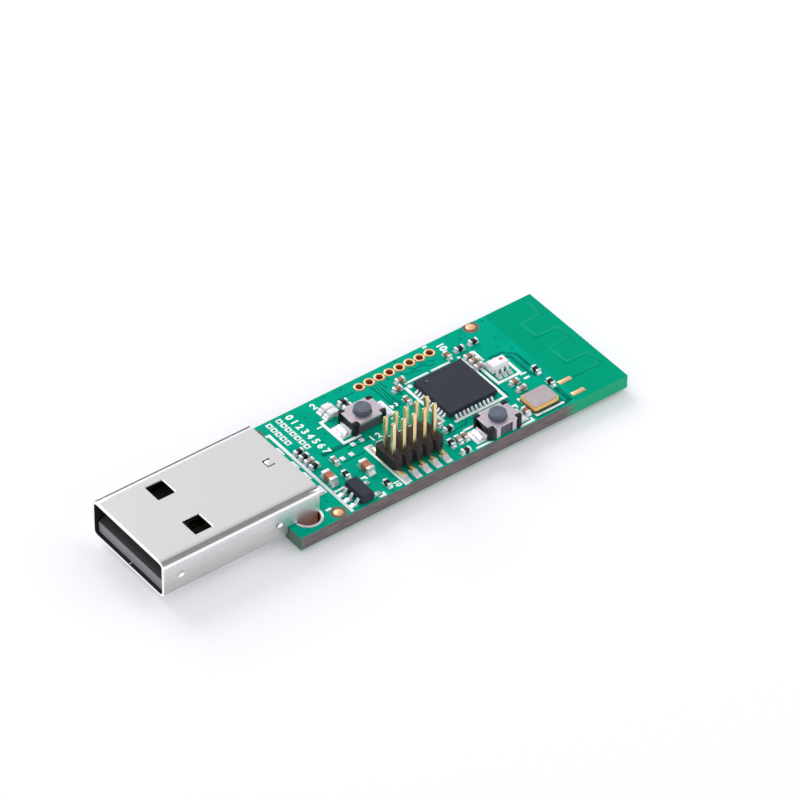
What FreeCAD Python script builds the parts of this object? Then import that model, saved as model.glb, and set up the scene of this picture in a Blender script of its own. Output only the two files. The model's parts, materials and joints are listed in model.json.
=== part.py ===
import FreeCAD, Part
import math
import os
import re

import Sketcher

# A USB radio stick: a bare circuit board with a steel plug on one end and a printed antenna on the other.
# X runs along the stick from the plug's mouth to the antenna, Y across it, and Z up.
# The origin is the middle of the outline, level with the tips of the plug's soldered lugs.

document = FreeCAD.newDocument("RadioStick")
sheet = document.addObject("Spreadsheet::Sheet", "Sizes")
sub_parts = []

# The driving sizes, in millimetres
SIZES = {
    # Plug shell, folded from one steel sheet
    "plug_length": 18.75,  # mouth to rear edge of the shell
    "plug_width": 12.0,  # outside width of the shell
    "plug_height": 4.5,  # outside height of the shell
    "shell_wall": 0.3,  # thickness of the shell's sheet
    "shell_bend": 0.6,  # outside radius of the shell's bends
    "seam_gap": 0.1,  # open seam along the shell's underside
    "seam_key_length": 2.4,  # length of the dovetail that locks the seam
    "seam_key_depth": 1.0,  # how far the dovetail reaches across
    "window_setback": 5.1,  # mouth to the latch windows
    "window_length": 2.0,  # length of a latch window
    "window_width": 2.25,  # width of a latch window
    "window_spread": 6.2,  # between the centres of the two windows
    "dimple_radius": 0.45,  # radius of a side dimple
    "dimple_depth": 0.16,  # depth of a side dimple
    "front_dimple_setback": 2.1,  # mouth to the front dimple
    "rear_dimple_setback": 4.85,  # rear edge of the shell to the rear dimple
    "tab_setback": 2.25,  # rear edge of the shell to the free end of the lanced tab on top
    "tab_length": 0.9,  # length of the lanced tab
    "tab_width": 1.1,  # width of the lanced tab
    "tab_slit": 0.18,  # width of the slit round the tab
    "lug_setback": 1.35,  # rear edge of the shell to the middle of a soldered lug
    "lug_width": 2.2,  # width of a lug along the stick
    "lug_tail": 0.5,  # how far a lug stands out under the board
    "lug_chamfer": 0.3,  # corner cut of a lug's tip
    "board_front_gap": 0.1,  # shell's floor to the front edge of the board
    # Insulator and contacts of the plug
    "insulator_fit": 0.03,  # side clearance of the insulator in the shell
    "tongue_setback": 0.4,  # mouth to the tip of the tongue
    "tongue_thickness": 1.84,  # thickness of the tongue
    "tongue_length": 11.2,  # length of the open tongue
    "tongue_tip_height": 1.35,  # height of the tongue's front face, below its lead-in slope
    "tongue_tip_run": 1.1,  # length of the lead-in slope
    "tongue_side_gap": 0.12,  # how far the tongue's sides stand back from the block's
    "block_setback": 0.45,  # rear edge of the shell to the rear face of the insulator
    "contact_setback": 1.6,  # mouth to the tip of a contact
    "contact_width": 1.0,  # width of a contact strip
    "contact_thickness": 0.2,  # thickness of a contact strip
    "inner_contact_spread": 2.0,  # between the two data contacts
    "outer_contact_spread": 7.0,  # between the two power contacts
    "contact_drop": 0.45,  # rear edge of the shell to the leg of a contact's tail
    "contact_foot_length": 1.7,  # length of a contact's foot
    "contact_bend": 0.3,  # outside radius of a contact's bends
    # Circuit board
    "board_length": 41.0,  # length of the board
    "board_margin": 2.0,  # side of the shell to the edge of the board
    "board_thickness": 1.6,  # thickness of the board
    "board_overlap": 3.75,  # how far the board lies under the shell
    "plug_rise": 0.3,  # underside of the board to underside of the shell
    "pad_thickness": 0.05,  # copper and tin on a pad
    "small_pad_length": 0.8,  # length of a pad under a small lead
    "small_pad_width": 0.45,  # width of a pad under a small lead
    "pad_margin": 0.2,  # how far a contact's pad reaches past its foot
    "layout_grid": 0.05,  # step of the grid on which the small parts are placed
    "antenna_pad_length": 1.6,  # length of a bare pad in the antenna's corner
    "lug_hole_radius": 1.3,  # inside radius of a plated lug hole
    "lug_ring_radius": 1.6,  # radius of the ring round a lug hole
    "hole_pitch": 1.27,  # between the holes of the signal row
    "hole_count": 8,  # holes in the signal row
    "hole_radius": 0.375,  # inside radius of a plated signal hole
    "ring_radius": 0.61,  # radius of the ring round a signal hole
    "hole_row_setback": 18.15,  # front edge of the board to the first signal hole
    "hole_row_margin": 1.3,  # far edge of the board to the signal row
    "fiducial_radius": 0.5,  # radius of a copper aiming mark
    "solder_height": 0.4,  # height of the solder cone under a lug
    "solder_margin": 0.13,  # edge of the ring to the solder
    # Radio chip, a square body with ten lands on each side
    "radio_x": 25.4,  # front edge of the board to the centre of the radio chip
    "radio_y": 0.3,  # centre line to the centre of the radio chip
    "radio_side": 6.0,  # side of the radio chip
    "radio_height": 0.85,  # height of the radio chip
    "land_pitch": 0.5,  # between two lands
    "lands_per_side": 10,  # lands on each side
    "land_width": 0.24,  # width of a land
    "land_length": 0.4,  # length of a land under the chip
    "land_height": 0.2,  # height of a land
    "land_toe": 0.4,  # how far a land's pad shows past the chip
    "mark_radius": 0.28,  # radius of the first pin's mark
    "mark_inset": 0.9,  # chip's edges to the first pin's mark
    "mark_depth": 0.05,  # depth of the first pin's mark
    # Regulator with five bent leads, and the six-lead antenna coupler
    "regulator_x": 8.4,  # front edge of the board to the centre of the regulator
    "regulator_margin": 1.7,  # near edge of the board to the centre of the regulator
    "regulator_width": 1.6,  # width of the regulator's body
    "regulator_length": 2.9,  # length of the regulator's body
    "regulator_height": 1.1,  # height of the regulator's body
    "regulator_lead_pitch": 0.95,  # between two leads of the regulator
    "regulator_reach": 1.4,  # centre of the regulator to a lead's toe
    "coupler_x": 31.05,  # front edge of the board to the centre of the coupler
    "coupler_y": 0.65,  # centre line to the centre of the coupler
    "coupler_length": 2.0,  # length of the coupler's body
    "coupler_width": 1.3,  # width of the coupler's body
    "coupler_height": 1.0,  # height of the coupler's body
    "coupler_lead_pitch": 0.65,  # between two leads of the coupler
    "coupler_reach": 1.1,  # centre of the coupler to a lead's toe
    "body_draft": 0.12,  # how far a moulded body's sides slope in
    "body_lift": 0.05,  # pad to the underside of a moulded body
    "small_lead_width": 0.36,  # width of a bent lead
    "small_lead_thickness": 0.13,  # thickness of a bent lead
    "small_lead_foot": 0.4,  # length of a bent lead's foot
    "small_lead_root": 0.15,  # how far a lead reaches into its body
    "small_lead_shoulder": 0.05,  # body to a lead's first bend
    "small_lead_miter": 0.085,  # how far the outer corner of a lead's bend lies past the inner one
    # Crystal in a ceramic tray with a metal ring and lid
    "crystal_x": 31.3,  # front edge of the board to the centre of the crystal
    "crystal_margin": 2.1,  # near edge of the board to the centre of the crystal
    "crystal_length": 3.2,  # length of the crystal
    "crystal_width": 2.5,  # width of the crystal
    "crystal_tray_height": 0.25,  # height of the ceramic tray
    "crystal_ring_height": 0.42,  # height of the gold ring
    "crystal_lid_height": 0.12,  # height of the lid
    "crystal_lid_margin": 0.1,  # ring's edge to the lid's edge
    "crystal_corner": 0.3,  # corner radius of the crystal
    # Ten-pin header
    "header_x": 16.04,  # front edge of the board to the centre of the header
    "header_margin": 3.6,  # near edge of the board to the centre of the header
    "header_pitch": 1.27,  # between two pins
    "header_columns": 5,  # pins in a row
    "header_body_width": 3.4,  # width of the header's body
    "header_body_lift": 0.46,  # pads to the underside of the body
    "header_body_top": 1.75,  # pads to the top of the body
    "header_notch_width": 0.55,  # width of the notch between two pins
    "header_notch_depth": 0.55,  # depth of the notch between two pins
    "header_corner_cut": 0.32,  # corner cut at the header's ends
    "pin_side": 0.42,  # side of a square pin
    "pin_height": 5.75,  # pads to the tip of a pin
    "pin_tip": 0.28,  # length of a pin's tapered tip
    "pin_foot_reach": 2.55,  # header's centre line to the end of a foot
    "pin_bend": 0.5,  # outside radius of a pin's bend
    "pin_pad_reach": 3.4,  # header's centre line to the outer end of a pad
    "pin_pad_length": 1.5,  # length of a pin's pad
    "pin_pad_width": 0.75,  # width of a pin's pad
    # Two push switches
    "far_switch_x": 15.2,  # front edge of the board to the centre of the far switch
    "far_switch_y": 2.3,  # centre line to the centre of the far switch
    "near_switch_x": 25.6,  # front edge of the board to the centre of the near switch
    "near_switch_margin": 1.65,  # near edge of the board to the centre of the near switch
    "base_length": 3.8,  # length of a switch base
    "base_width": 2.65,  # width of a switch base
    "base_height": 1.3,  # height of a switch base
    "well_radius": 1.27,  # radius of the well in a switch base
    "well_floor": 0.4,  # pads to the floor of the well
    "post_side": 0.54,  # side of a corner post
    "post_proud": 0.15,  # how far a post stands out of the base's sides
    "post_radius": 0.27,  # radius of a post's outer corner
    "cover_length": 3.9,  # length of a switch cover
    "cover_thickness": 0.15,  # thickness of the cover's sheet
    "cover_gap": 0.025,  # base wall to a folded leg
    "cover_notch": 0.58,  # corner of the cover that is cut away for a post
    "cover_bend": 0.12,  # outside radius of the cover's bends
    "cover_hole_clearance": 0.06,  # plunger to the edge of the cover's hole
    "leg_width": 0.5,  # width of a cover leg
    "leg_spread": 2.0,  # between the centres of the two legs
    "lip_depth": 0.35,  # depth of the cover's folded lip
    "plunger_radius": 0.92,  # radius of a plunger
    "plunger_top": 2.0,  # pads to the top of a plunger
    "plunger_edge": 0.08,  # cut at the plunger's top edge
    "flange_radius": 1.16,  # radius of the plunger's flange
    "flange_clearance": 0.03,  # flange to the underside of the cover
    "dome_radius": 1.15,  # radius of the spring dome's rim
    "dome_height": 0.38,  # height of the spring dome
    "dome_thickness": 0.07,  # thickness of the spring dome
    "dome_crown_radius": 0.6,  # radius of the dome's flat crown
    "dome_rim_width": 0.12,  # width of the rim that the dome stands on
    "dome_clearance": 0.02,  # dome's crown to the plunger
    "terminal_width": 1.8,  # width of a switch terminal
    "terminal_thickness": 0.15,  # thickness of a switch terminal
    "terminal_bend": 0.12,  # outside radius of a switch terminal's bend
    "terminal_root": 0.9,  # centre of the switch to a terminal's inner end
    "terminal_level": 0.22,  # pads to the underside of a terminal in the base
    "terminal_reach": 3.0,  # centre of the switch to a terminal's toe
    "switch_pad_reach": 3.25,  # centre of the switch to the end of its pad
    "switch_pad_length": 1.2,  # length of a switch pad
    "switch_pad_width": 2.0,  # width of a switch pad
    # Small parts soldered by both ends
    "chip_length": 1.0,  # length of a small chip
    "chip_width": 0.5,  # width of a small chip
    "chip_height": 0.45,  # height of a small chip
    "chip_cap": 0.25,  # length of a small chip's metal end
    "chip_step": 0.02,  # how far the metal ends stand proud
    "chip_pad_length": 0.5,  # length of a small chip's pad
    "chip_pad_width": 0.55,  # width of a small chip's pad
    "chip_pad_reach": 0.15,  # end of a small chip to the end of its pad
    "bulk_length": 1.65,  # length of a large capacitor
    "bulk_width": 0.85,  # width of a large capacitor
    "bulk_height": 0.8,  # height of a large capacitor
    "bulk_cap": 0.35,  # length of a large capacitor's metal end
    "bulk_pad_length": 0.75,  # length of a large capacitor's pad
    "bulk_pad_reach": 0.25,  # end of a large capacitor or light to the end of its pad
    "light_length": 1.6,  # length of a status light
    "light_width": 0.8,  # width of a status light
    "light_height": 0.6,  # height of a status light
    "light_base_height": 0.2,  # height of the status light's base
    "light_lens_length": 1.1,  # length of the status light's lens
}
for row, (name, value) in enumerate(SIZES.items(), start=1):
    sheet.set(f"A{row}", name)
    sheet.set(f"B{row}", str(value))
    sheet.setAlias(f"B{row}", name)
document.recompute()


# A rule is a formula in the words of the sheet.
def rule(words):
    def with_sheet(word):
        return "Sizes." + word.group() if word.group() in SIZES else word.group()

    return re.sub(r"[a-z_]+", with_sheet, str(words))


def number(name):
    return float(sheet.get(name))


def bind(thing, rules):
    for path, words in rules.items():
        thing.setExpression(path, rule(words))


def place(thing, x=0, y=0, z=0, turn=0):
    thing.Placement = FreeCAD.Placement(FreeCAD.Vector(), FreeCAD.Rotation(FreeCAD.Vector(0, 0, 1), turn))
    bind(thing, {"Placement.Base.x": x, "Placement.Base.y": y, "Placement.Base.z": z})
    return thing


def node(label, thing):
    thing.Label = label
    sub_parts.append(thing)
    return thing


# Levels and edges that the pieces share
MOUTH = "(-(plug_length - board_overlap + board_length) / 2)"
BOARD_FRONT = f"({MOUTH} + plug_length - board_overlap)"
NEAR_EDGE = "(-plug_width / 2 - board_margin)"
FAR_EDGE = "(plug_width / 2 + board_margin)"
BOARD_BOTTOM = "lug_tail"
BOARD_TOP = "(lug_tail + board_thickness)"
PAD_TOP = "(lug_tail + board_thickness + pad_thickness)"
SHELL_BOTTOM = "(lug_tail + plug_rise)"
BOARD_TOP_IN_SHELL = "(board_thickness - plug_rise)"
PAD_TOP_IN_SHELL = "(board_thickness - plug_rise + pad_thickness)"
LUG_X = "(board_overlap - lug_setback)"
LUG_Y = "((plug_width - shell_wall) / 2)"
REGULATOR_Y = f"({NEAR_EDGE} + regulator_margin)"
CRYSTAL_Y = f"({NEAR_EDGE} + crystal_margin)"
HEADER_Y = f"({NEAR_EDGE} + header_margin)"
NEAR_SWITCH_Y = f"({NEAR_EDGE} + near_switch_margin)"


def on_board(distance):
    """The place that lies this far behind the front edge of the board."""
    return f"({BOARD_FRONT} + {distance})"


# Simple solids
def box(name, length, width, height, x=0, y=0, z=0):
    solid = document.addObject("Part::Box", name)
    bind(solid, {"Length": length, "Width": width, "Height": height})
    return place(solid, x, y, z)


def centred_box(name, length, width, height, x=0, y=0, z=0):
    return box(name, length, width, height, f"{x} - ({length}) / 2", f"{y} - ({width}) / 2", z)


def cylinder(name, radius, height, x=0, y=0, z=0):
    solid = document.addObject("Part::Cylinder", name)
    bind(solid, {"Radius": radius, "Height": height})
    return place(solid, x, y, z)


def cut(name, base, tool):
    solid = document.addObject("Part::Cut", name)
    solid.Base = base
    solid.Tool = tool
    return solid


def fuse(name, pieces):
    solid = document.addObject("Part::MultiFuse", name)
    solid.Shapes = pieces
    return solid


def group(name, pieces):
    several = document.addObject("Part::Compound", name)
    several.Links = pieces
    return several


# Bodies drawn in sketches
def origin_part(body, role):
    return [part for part in body.Origin.OriginFeatures if part.Role == role][0]


def new_sketch(body, name, role, lift=0):
    sketch = body.newObject("Sketcher::SketchObject", name)
    sketch.AttachmentSupport = (origin_part(body, role), [""])
    sketch.MapMode = "FlatFace"
    sketch.setExpression("AttachmentOffset.Base.z", rule(lift))
    return sketch


def fix_point(sketch, line, end, across, up):
    for kind, words in (("DistanceX", across), ("DistanceY", up)):
        index = sketch.addConstraint(Sketcher.Constraint(kind, -1, 1, line, end, 0.0))
        sketch.setExpression(f"Constraints[{index}]", rule(words))


def draw_outline(sketch, corners):
    """Draws a closed outline of straight lines, each corner held by two rules."""
    first = sketch.GeometryCount
    count = len(corners)
    for index in range(count):
        turn = 2 * math.pi * index / count
        ahead = 2 * math.pi * (index + 1) / count
        start = FreeCAD.Vector(math.cos(turn), math.sin(turn), 0)
        end = FreeCAD.Vector(math.cos(ahead), math.sin(ahead), 0)
        sketch.addGeometry(Part.LineSegment(start, end))
    for index in range(count):
        follower = first + (index + 1) % count
        sketch.addConstraint(Sketcher.Constraint("Coincident", first + index, 2, follower, 1))
    for index, (across, up) in enumerate(corners):
        fix_point(sketch, first + index, 1, across, up)


def draw_rectangle(sketch, low, high):
    (left, bottom), (right, top) = low, high
    draw_outline(sketch, [(left, bottom), (right, bottom), (right, top), (left, top)])


def draw_circle(sketch, across, up, radius):
    centre = FreeCAD.Vector(0, 0, 0)
    line = sketch.addGeometry(Part.Circle(centre, FreeCAD.Vector(0, 0, 1), 1.0))
    index = sketch.addConstraint(Sketcher.Constraint("Radius", line, 1.0))
    sketch.setExpression(f"Constraints[{index}]", rule(radius))
    fix_point(sketch, line, 3, across, up)


def new_body(name):
    return document.addObject("PartDesign::Body", name)


def pad(body, name, sketch, length, midplane=False, reverse=False):
    feature = body.newObject("PartDesign::Pad", name)
    feature.Profile = sketch
    feature.Midplane = midplane
    feature.Reversed = reverse
    bind(feature, {"Length": length})
    document.recompute()
    return feature


def pocket(body, name, sketch, depth, midplane=False, reverse=False):
    """Cuts a sketch into the body, and stops if nothing was cut."""
    before = body.Shape.Volume
    feature = body.newObject("PartDesign::Pocket", name)
    feature.Profile = sketch
    feature.Midplane = midplane
    feature.Reversed = reverse
    bind(feature, {"Length": depth})
    document.recompute()
    if not body.Shape.Volume < before:
        raise ValueError(f"{name} cuts nothing")
    return feature


def revolution(body, name, sketch):
    feature = body.newObject("PartDesign::Revolution", name)
    feature.Profile = sketch
    feature.ReferenceAxis = (sketch, ["V_Axis"])
    feature.Angle = 360
    document.recompute()
    return feature


def row_of(body, name, feature, spacing, count):
    pattern = body.newObject("PartDesign::LinearPattern", name)
    pattern.Originals = [feature]
    pattern.Direction = (origin_part(body, "X_Axis"), [""])
    pattern.Mode = "Spacing"
    bind(pattern, {"Offset": spacing, "Occurrences": count})
    body.Tip = pattern
    document.recompute()
    return pattern


def mirrored(body, name, features, role):
    mirror = body.newObject("PartDesign::Mirrored", name)
    mirror.Originals = features
    mirror.MirrorPlane = (origin_part(body, role), [""])
    body.Tip = mirror
    document.recompute()
    return mirror


def edge_names(feature, chosen):
    return [f"Edge{index + 1}" for index, edge in enumerate(feature.Shape.Edges) if chosen(edge)]


def fillet(body, name, feature, chosen, radius):
    rounding = body.newObject("PartDesign::Fillet", name)
    rounding.Base = (feature, edge_names(feature, chosen))
    bind(rounding, {"Radius": radius})
    document.recompute()
    return rounding


def chamfer(body, name, feature, chosen, depth):
    slope = body.newObject("PartDesign::Chamfer", name)
    slope.Base = (feature, edge_names(feature, chosen))
    bind(slope, {"Size": depth})
    document.recompute()
    return slope


PARALLEL = 0.999  # cosine above which two directions count as one


def runs_along(edge, axis):
    if edge.Curve.TypeId != "Part::GeomLine":
        return False
    return abs(edge.Curve.Direction.dot(axis)) > PARALLEL


X_AXIS = FreeCAD.Vector(1, 0, 0)
Y_AXIS = FreeCAD.Vector(0, 1, 0)
Z_AXIS = FreeCAD.Vector(0, 0, 1)
CLOSE = 1e-6
QUARTER_TURN = 90
HALF_TURN = 180


def bent_strip(name, width, corners, bends=(), bend_radius=None):
    """A strip of even width that is bent in the XZ plane. bends holds the numbers of the corners to be rounded."""
    body = new_body(name)
    sketch = new_sketch(body, name + "_side", "XZ_Plane")
    draw_outline(sketch, corners)
    strip = pad(body, name + "_strip", sketch, width, midplane=True)
    if not bends:
        return body
    points = [sketch.Geometry[index].StartPoint for index in bends]

    def at_a_bend(edge):
        spot = edge.Vertexes[0].Point
        return runs_along(edge, Y_AXIS) and any(math.hypot(spot.x - p.x, spot.z - p.y) < CLOSE for p in points)

    fillet(body, name + "_bends", strip, at_a_bend, bend_radius)
    return body


# Plug shell
def plug_shell():
    body = new_body("shell_body")
    section = new_sketch(body, "shell_section", "YZ_Plane")
    draw_rectangle(section, ("-plug_width / 2", 0), ("plug_width / 2", "plug_height"))
    block = pad(body, "shell_block", section, "plug_length")
    rounded = fillet(body, "shell_bends", block, lambda edge: runs_along(edge, X_AXIS), "shell_bend")
    ends = [f"Face{i + 1}" for i, face in enumerate(rounded.Shape.Faces) if abs(face.normalAt(0, 0).x) > PARALLEL]
    folded = body.newObject("PartDesign::Thickness", "shell_sheet")
    folded.Base = (rounded, ends)
    folded.Reversed = True
    bind(folded, {"Value": "shell_wall"})
    document.recompute()

    floor_end = "(plug_length - board_overlap - board_front_gap)"
    side = new_sketch(body, "board_space", "XZ_Plane")
    draw_rectangle(side, (floor_end, "-shell_wall"), ("plug_length + shell_wall", PAD_TOP_IN_SHELL))
    pocket(body, "board_cut", side, "plug_width * 2", midplane=True)

    windows = new_sketch(body, "window_outlines", "XY_Plane", "plug_height + shell_wall")
    for side_sign in (-1, 1):
        middle = f"({side_sign} * window_spread / 2)"
        low = ("window_setback", f"{middle} - window_width / 2")
        high = ("window_setback + window_length", f"{middle} + window_width / 2")
        draw_rectangle(windows, low, high)
    pocket(body, "windows", windows, "plug_height + shell_wall * 2")

    slit = new_sketch(body, "tab_outline", "XY_Plane", "plug_height + shell_wall")
    end = "(plug_length - tab_setback)"
    root = f"({end} + tab_length)"
    half = "(tab_width / 2)"
    inner = "(tab_width / 2 - tab_slit)"
    draw_outline(
        slit,
        [
            (root, f"-{half}"),
            (end, f"-{half}"),
            (end, half),
            (root, half),
            (root, inner),
            (f"{end} + tab_slit", inner),
            (f"{end} + tab_slit", f"-{inner}"),
            (root, f"-{inner}"),
        ],
    )
    pocket(body, "tab_slit_cut", slit, "shell_wall * 2.5")

    # The sheet's two edges meet along the underside and lock with one dovetail.
    seam = new_sketch(body, "seam_line", "XY_Plane", "-shell_wall")
    key_start = "(plug_length - board_overlap) / 2"
    key_end = f"({key_start} + seam_key_length)"
    key_slope = "seam_key_depth / 4"
    draw_outline(
        seam,
        [
            ("-shell_wall", 0),
            (f"{key_start}", 0),
            (f"{key_start} - {key_slope}", "seam_key_depth"),
            (f"{key_end} + {key_slope}", "seam_key_depth"),
            (key_end, 0),
            ("plug_length", 0),
            ("plug_length", "-seam_gap"),
            (f"{key_end} - seam_gap", "-seam_gap"),
            (f"{key_end} + {key_slope} - seam_gap * 1.3", "seam_key_depth - seam_gap"),
            (f"{key_start} - {key_slope} + seam_gap * 1.3", "seam_key_depth - seam_gap"),
            (f"{key_start} + seam_gap", "-seam_gap"),
            ("-shell_wall", "-seam_gap"),
        ],
    )
    pocket(body, "seam", seam, "shell_wall * 2.5", reverse=True)

    lugs = new_sketch(body, "lug_outline", "XZ_Plane", "-(plug_width / 2 - shell_wall)")
    left = "(plug_length - lug_setback - lug_width / 2)"
    right = "(plug_length - lug_setback + lug_width / 2)"
    tip = "(-plug_rise - lug_tail)"
    draw_outline(
        lugs,
        [
            (left, PAD_TOP_IN_SHELL),
            (left, f"{tip} + lug_chamfer"),
            (f"{left} + lug_chamfer", tip),
            (f"{right} - lug_chamfer", tip),
            (right, f"{tip} + lug_chamfer"),
            (right, PAD_TOP_IN_SHELL),
        ],
    )
    far_lug = pad(body, "far_lug", lugs, "shell_wall", reverse=True)
    mirrored(body, "both_lugs", [far_lug], "XZ_Plane")

    # Each dimple is pressed in with a round punch.
    punches = []
    punch_radius = "((dimple_radius ^ 2 + dimple_depth ^ 2) / (2 * dimple_depth))"
    for side_name, side_sign in (("near", -1), ("far", 1)):
        for spot_name, spot in (("front", "front_dimple_setback"), ("rear", "plug_length - rear_dimple_setback")):
            punch = document.addObject("Part::Sphere", f"{side_name}_{spot_name}_punch")
            bind(punch, {"Radius": punch_radius})
            depth = f"{side_sign} * (plug_width / 2 + {punch_radius} - dimple_depth)"
            punches.append(place(punch, spot, depth, "plug_height / 2"))
    shell = cut("dimpled_shell", body, group("dimple_punches", punches))
    return place(shell, MOUTH, 0, SHELL_BOTTOM)


# Contacts of the plug, flat strips that end in a foot on the board
def plug_contact(name, side):
    level = "(shell_wall + tongue_thickness)"
    top = f"({level} + contact_thickness)"
    foot = PAD_TOP_IN_SHELL
    leg = "(plug_length + contact_drop)"
    toe = f"({leg} + contact_foot_length)"
    corners = [
        ("contact_setback", level),
        (leg, level),
        (leg, foot),
        (toe, foot),
        (toe, f"{foot} + contact_thickness"),
        (f"{leg} + contact_thickness", f"{foot} + contact_thickness"),
        (f"{leg} + contact_thickness", top),
        ("contact_setback", top),
    ]
    strip = bent_strip(name, "contact_width", corners, (6, 2), "contact_bend")
    return place(strip, MOUTH, side, SHELL_BOTTOM)


# Insulator of the plug: an open tongue in front, and a block that fills the shell behind it
def plug_insulator(contacts):
    body = new_body("insulator_body")
    side = new_sketch(body, "insulator_side", "XZ_Plane")
    step = "(plug_length - board_overlap - insulator_fit)"
    draw_outline(
        side,
        [
            ("tongue_setback", "shell_wall"),
            (step, "shell_wall"),
            (step, f"{BOARD_TOP_IN_SHELL} + pad_thickness + insulator_fit"),
            ("plug_length - block_setback", f"{BOARD_TOP_IN_SHELL} + pad_thickness + insulator_fit"),
            ("plug_length - block_setback", "plug_height - shell_wall"),
            ("tongue_length", "plug_height - shell_wall"),
            ("tongue_length", "shell_wall + tongue_thickness"),
            ("tongue_setback + tongue_tip_run", "shell_wall + tongue_thickness"),
            ("tongue_setback", "shell_wall + tongue_tip_height"),
        ],
    )
    width = "(plug_width - 2 * (shell_wall + insulator_fit))"
    block = pad(body, "insulator_block", side, width, midplane=True)
    low, high = number("shell_wall"), number("plug_height") - number("shell_wall")

    def against_a_bend(edge):
        level = edge.Vertexes[0].Point.z
        return runs_along(edge, X_AXIS) and (abs(level - low) < CLOSE or abs(level - high) < CLOSE)

    chamfer(body, "insulator_corners", block, against_a_bend, "shell_bend - shell_wall")
    sides = new_sketch(body, "tongue_side", "XY_Plane", "shell_wall + tongue_thickness")
    draw_rectangle(sides, (0, f"{width} / 2 - tongue_side_gap"), ("tongue_length", "plug_width / 2"))
    far_side = pocket(body, "tongue_far_side", sides, "tongue_thickness")
    mirrored(body, "tongue_sides", [far_side], "XZ_Plane")
    place(body, MOUTH, 0, SHELL_BOTTOM)
    return cut("insulator_with_channels", body, group("contact_channels", contacts))


# Board with its plated holes
def circuit_board():
    body = new_body("board_body")
    outline = new_sketch(body, "board_outline", "XY_Plane")
    draw_rectangle(outline, (0, NEAR_EDGE), ("board_length", FAR_EDGE))
    pad(body, "board_slab", outline, "board_thickness")
    lug_holes = new_sketch(body, "lug_hole_outline", "XY_Plane", "board_thickness")
    for side_sign in (-1, 1):
        draw_circle(lug_holes, LUG_X, f"{side_sign} * {LUG_Y}", "lug_ring_radius")
    pocket(body, "lug_holes", lug_holes, "board_thickness")
    first_hole = new_sketch(body, "first_hole_outline", "XY_Plane", "board_thickness")
    draw_circle(first_hole, "hole_row_setback", f"{FAR_EDGE} - hole_row_margin", "ring_radius")
    hole = pocket(body, "first_hole", first_hole, "board_thickness")
    row_of(body, "hole_row", hole, "hole_pitch", "hole_count")
    return place(body, BOARD_FRONT, 0, BOARD_BOTTOM)


def plated_barrel(body, name, inner, ring):
    """A plated hole: a sleeve through the board whose ends show as rings, a little proud of both faces."""
    section = new_sketch(body, name + "_section", "XZ_Plane")
    draw_rectangle(section, (inner, "-pad_thickness"), (ring, "board_thickness + pad_thickness"))
    return revolution(body, name + "_turned", section)


def signal_hole_rings():
    body = new_body("signal_rings_body")
    first = plated_barrel(body, "signal_ring", "hole_radius", "ring_radius")
    row_of(body, "signal_ring_row", first, "hole_pitch", "hole_count")
    return place(body, on_board("hole_row_setback"), f"{FAR_EDGE} - hole_row_margin", BOARD_BOTTOM)


def lug_hole_rings():
    rings = []
    for side_name, side_sign in (("near", -1), ("far", 1)):
        body = new_body(side_name + "_lug_ring")
        plated_barrel(body, side_name + "_lug_barrel", "lug_hole_radius", "lug_ring_radius")
        rings.append(place(body, on_board(LUG_X), f"{side_sign} * {LUG_Y}", BOARD_BOTTOM))
    return group("lug_rings", rings)


def lug_solder(shell):
    """The solder under the board that wets each lug and its ring."""
    joints = []
    for side_name, side_sign in (("near", -1), ("far", 1)):
        cone = document.addObject("Part::Cone", side_name + "_solder_cone")
        narrow = "(lug_width / 2 + shell_wall / 4)"
        bind(cone, {"Radius1": narrow, "Radius2": "lug_ring_radius - solder_margin", "Height": "solder_height"})
        level = "lug_tail - pad_thickness - solder_height"
        joints.append(place(cone, on_board(LUG_X), f"{side_sign} * {LUG_Y}", level))
    return cut("solder_round_lugs", group("solder_joints", joints), shell)


# Moulded bodies with bent leads
def moulded_body(name, across, along, height):
    """A body whose two long sides slope in from the level of the leads."""
    body = new_body(name)
    section = new_sketch(body, name + "_section", "XZ_Plane")
    half = f"({across} / 2)"
    draw_outline(
        section,
        [
            (f"-{half} + body_draft", "body_lift"),
            (f"{half} - body_draft", "body_lift"),
            (half, f"{height} / 2"),
            (f"{half} - body_draft", height),
            (f"-{half} + body_draft", height),
            (f"-{half}", f"{height} / 2"),
        ],
    )
    pad(body, name + "_moulding", section, along, midplane=True)
    return body


def bent_lead(name, half_body, height, reach):
    """One gull-wing lead that leaves its body at half height, slopes down and ends flat on a pad."""
    level = f"({height} / 2 - small_lead_thickness / 2)"
    root = f"({half_body} - small_lead_root)"
    shoulder = f"({half_body} + small_lead_shoulder)"
    knee = f"({reach} - small_lead_foot)"
    corners = [
        (root, level),
        (shoulder, level),
        (knee, 0),
        (reach, 0),
        (reach, "small_lead_thickness"),
        (f"{knee} + small_lead_miter", "small_lead_thickness"),
        (f"{shoulder} + small_lead_miter", f"{level} + small_lead_thickness"),
        (root, f"{level} + small_lead_thickness"),
    ]
    return bent_strip(name, "small_lead_width", corners)


def leaded_part(name, x, y, turn, across, along, height, pitch, reach, left_rows, right_rows):
    """Returns the moulded body and its leads. A row number is counted in pitches from the middle."""
    leads = []
    for side_name, side_turn, rows in (("right", 0, right_rows), ("left", HALF_TURN, left_rows)):
        for row in rows:
            lead = bent_lead(f"{name}_{side_name}_lead", f"{across} / 2", height, reach)
            offset = f"({row} * {pitch})"
            if turn == 0:
                leads.append(place(lead, on_board(x), f"{y} + {offset}", PAD_TOP, side_turn))
            else:
                leads.append(place(lead, f"{on_board(x)} + {offset}", y, PAD_TOP, side_turn + turn))
    moulding = place(moulded_body(name + "_moulded", across, along, height), on_board(x), y, PAD_TOP, turn)
    lead_group = group(name + "_lead_group", leads)
    return cut(name + "_with_roots", moulding, lead_group), lead_group


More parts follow.
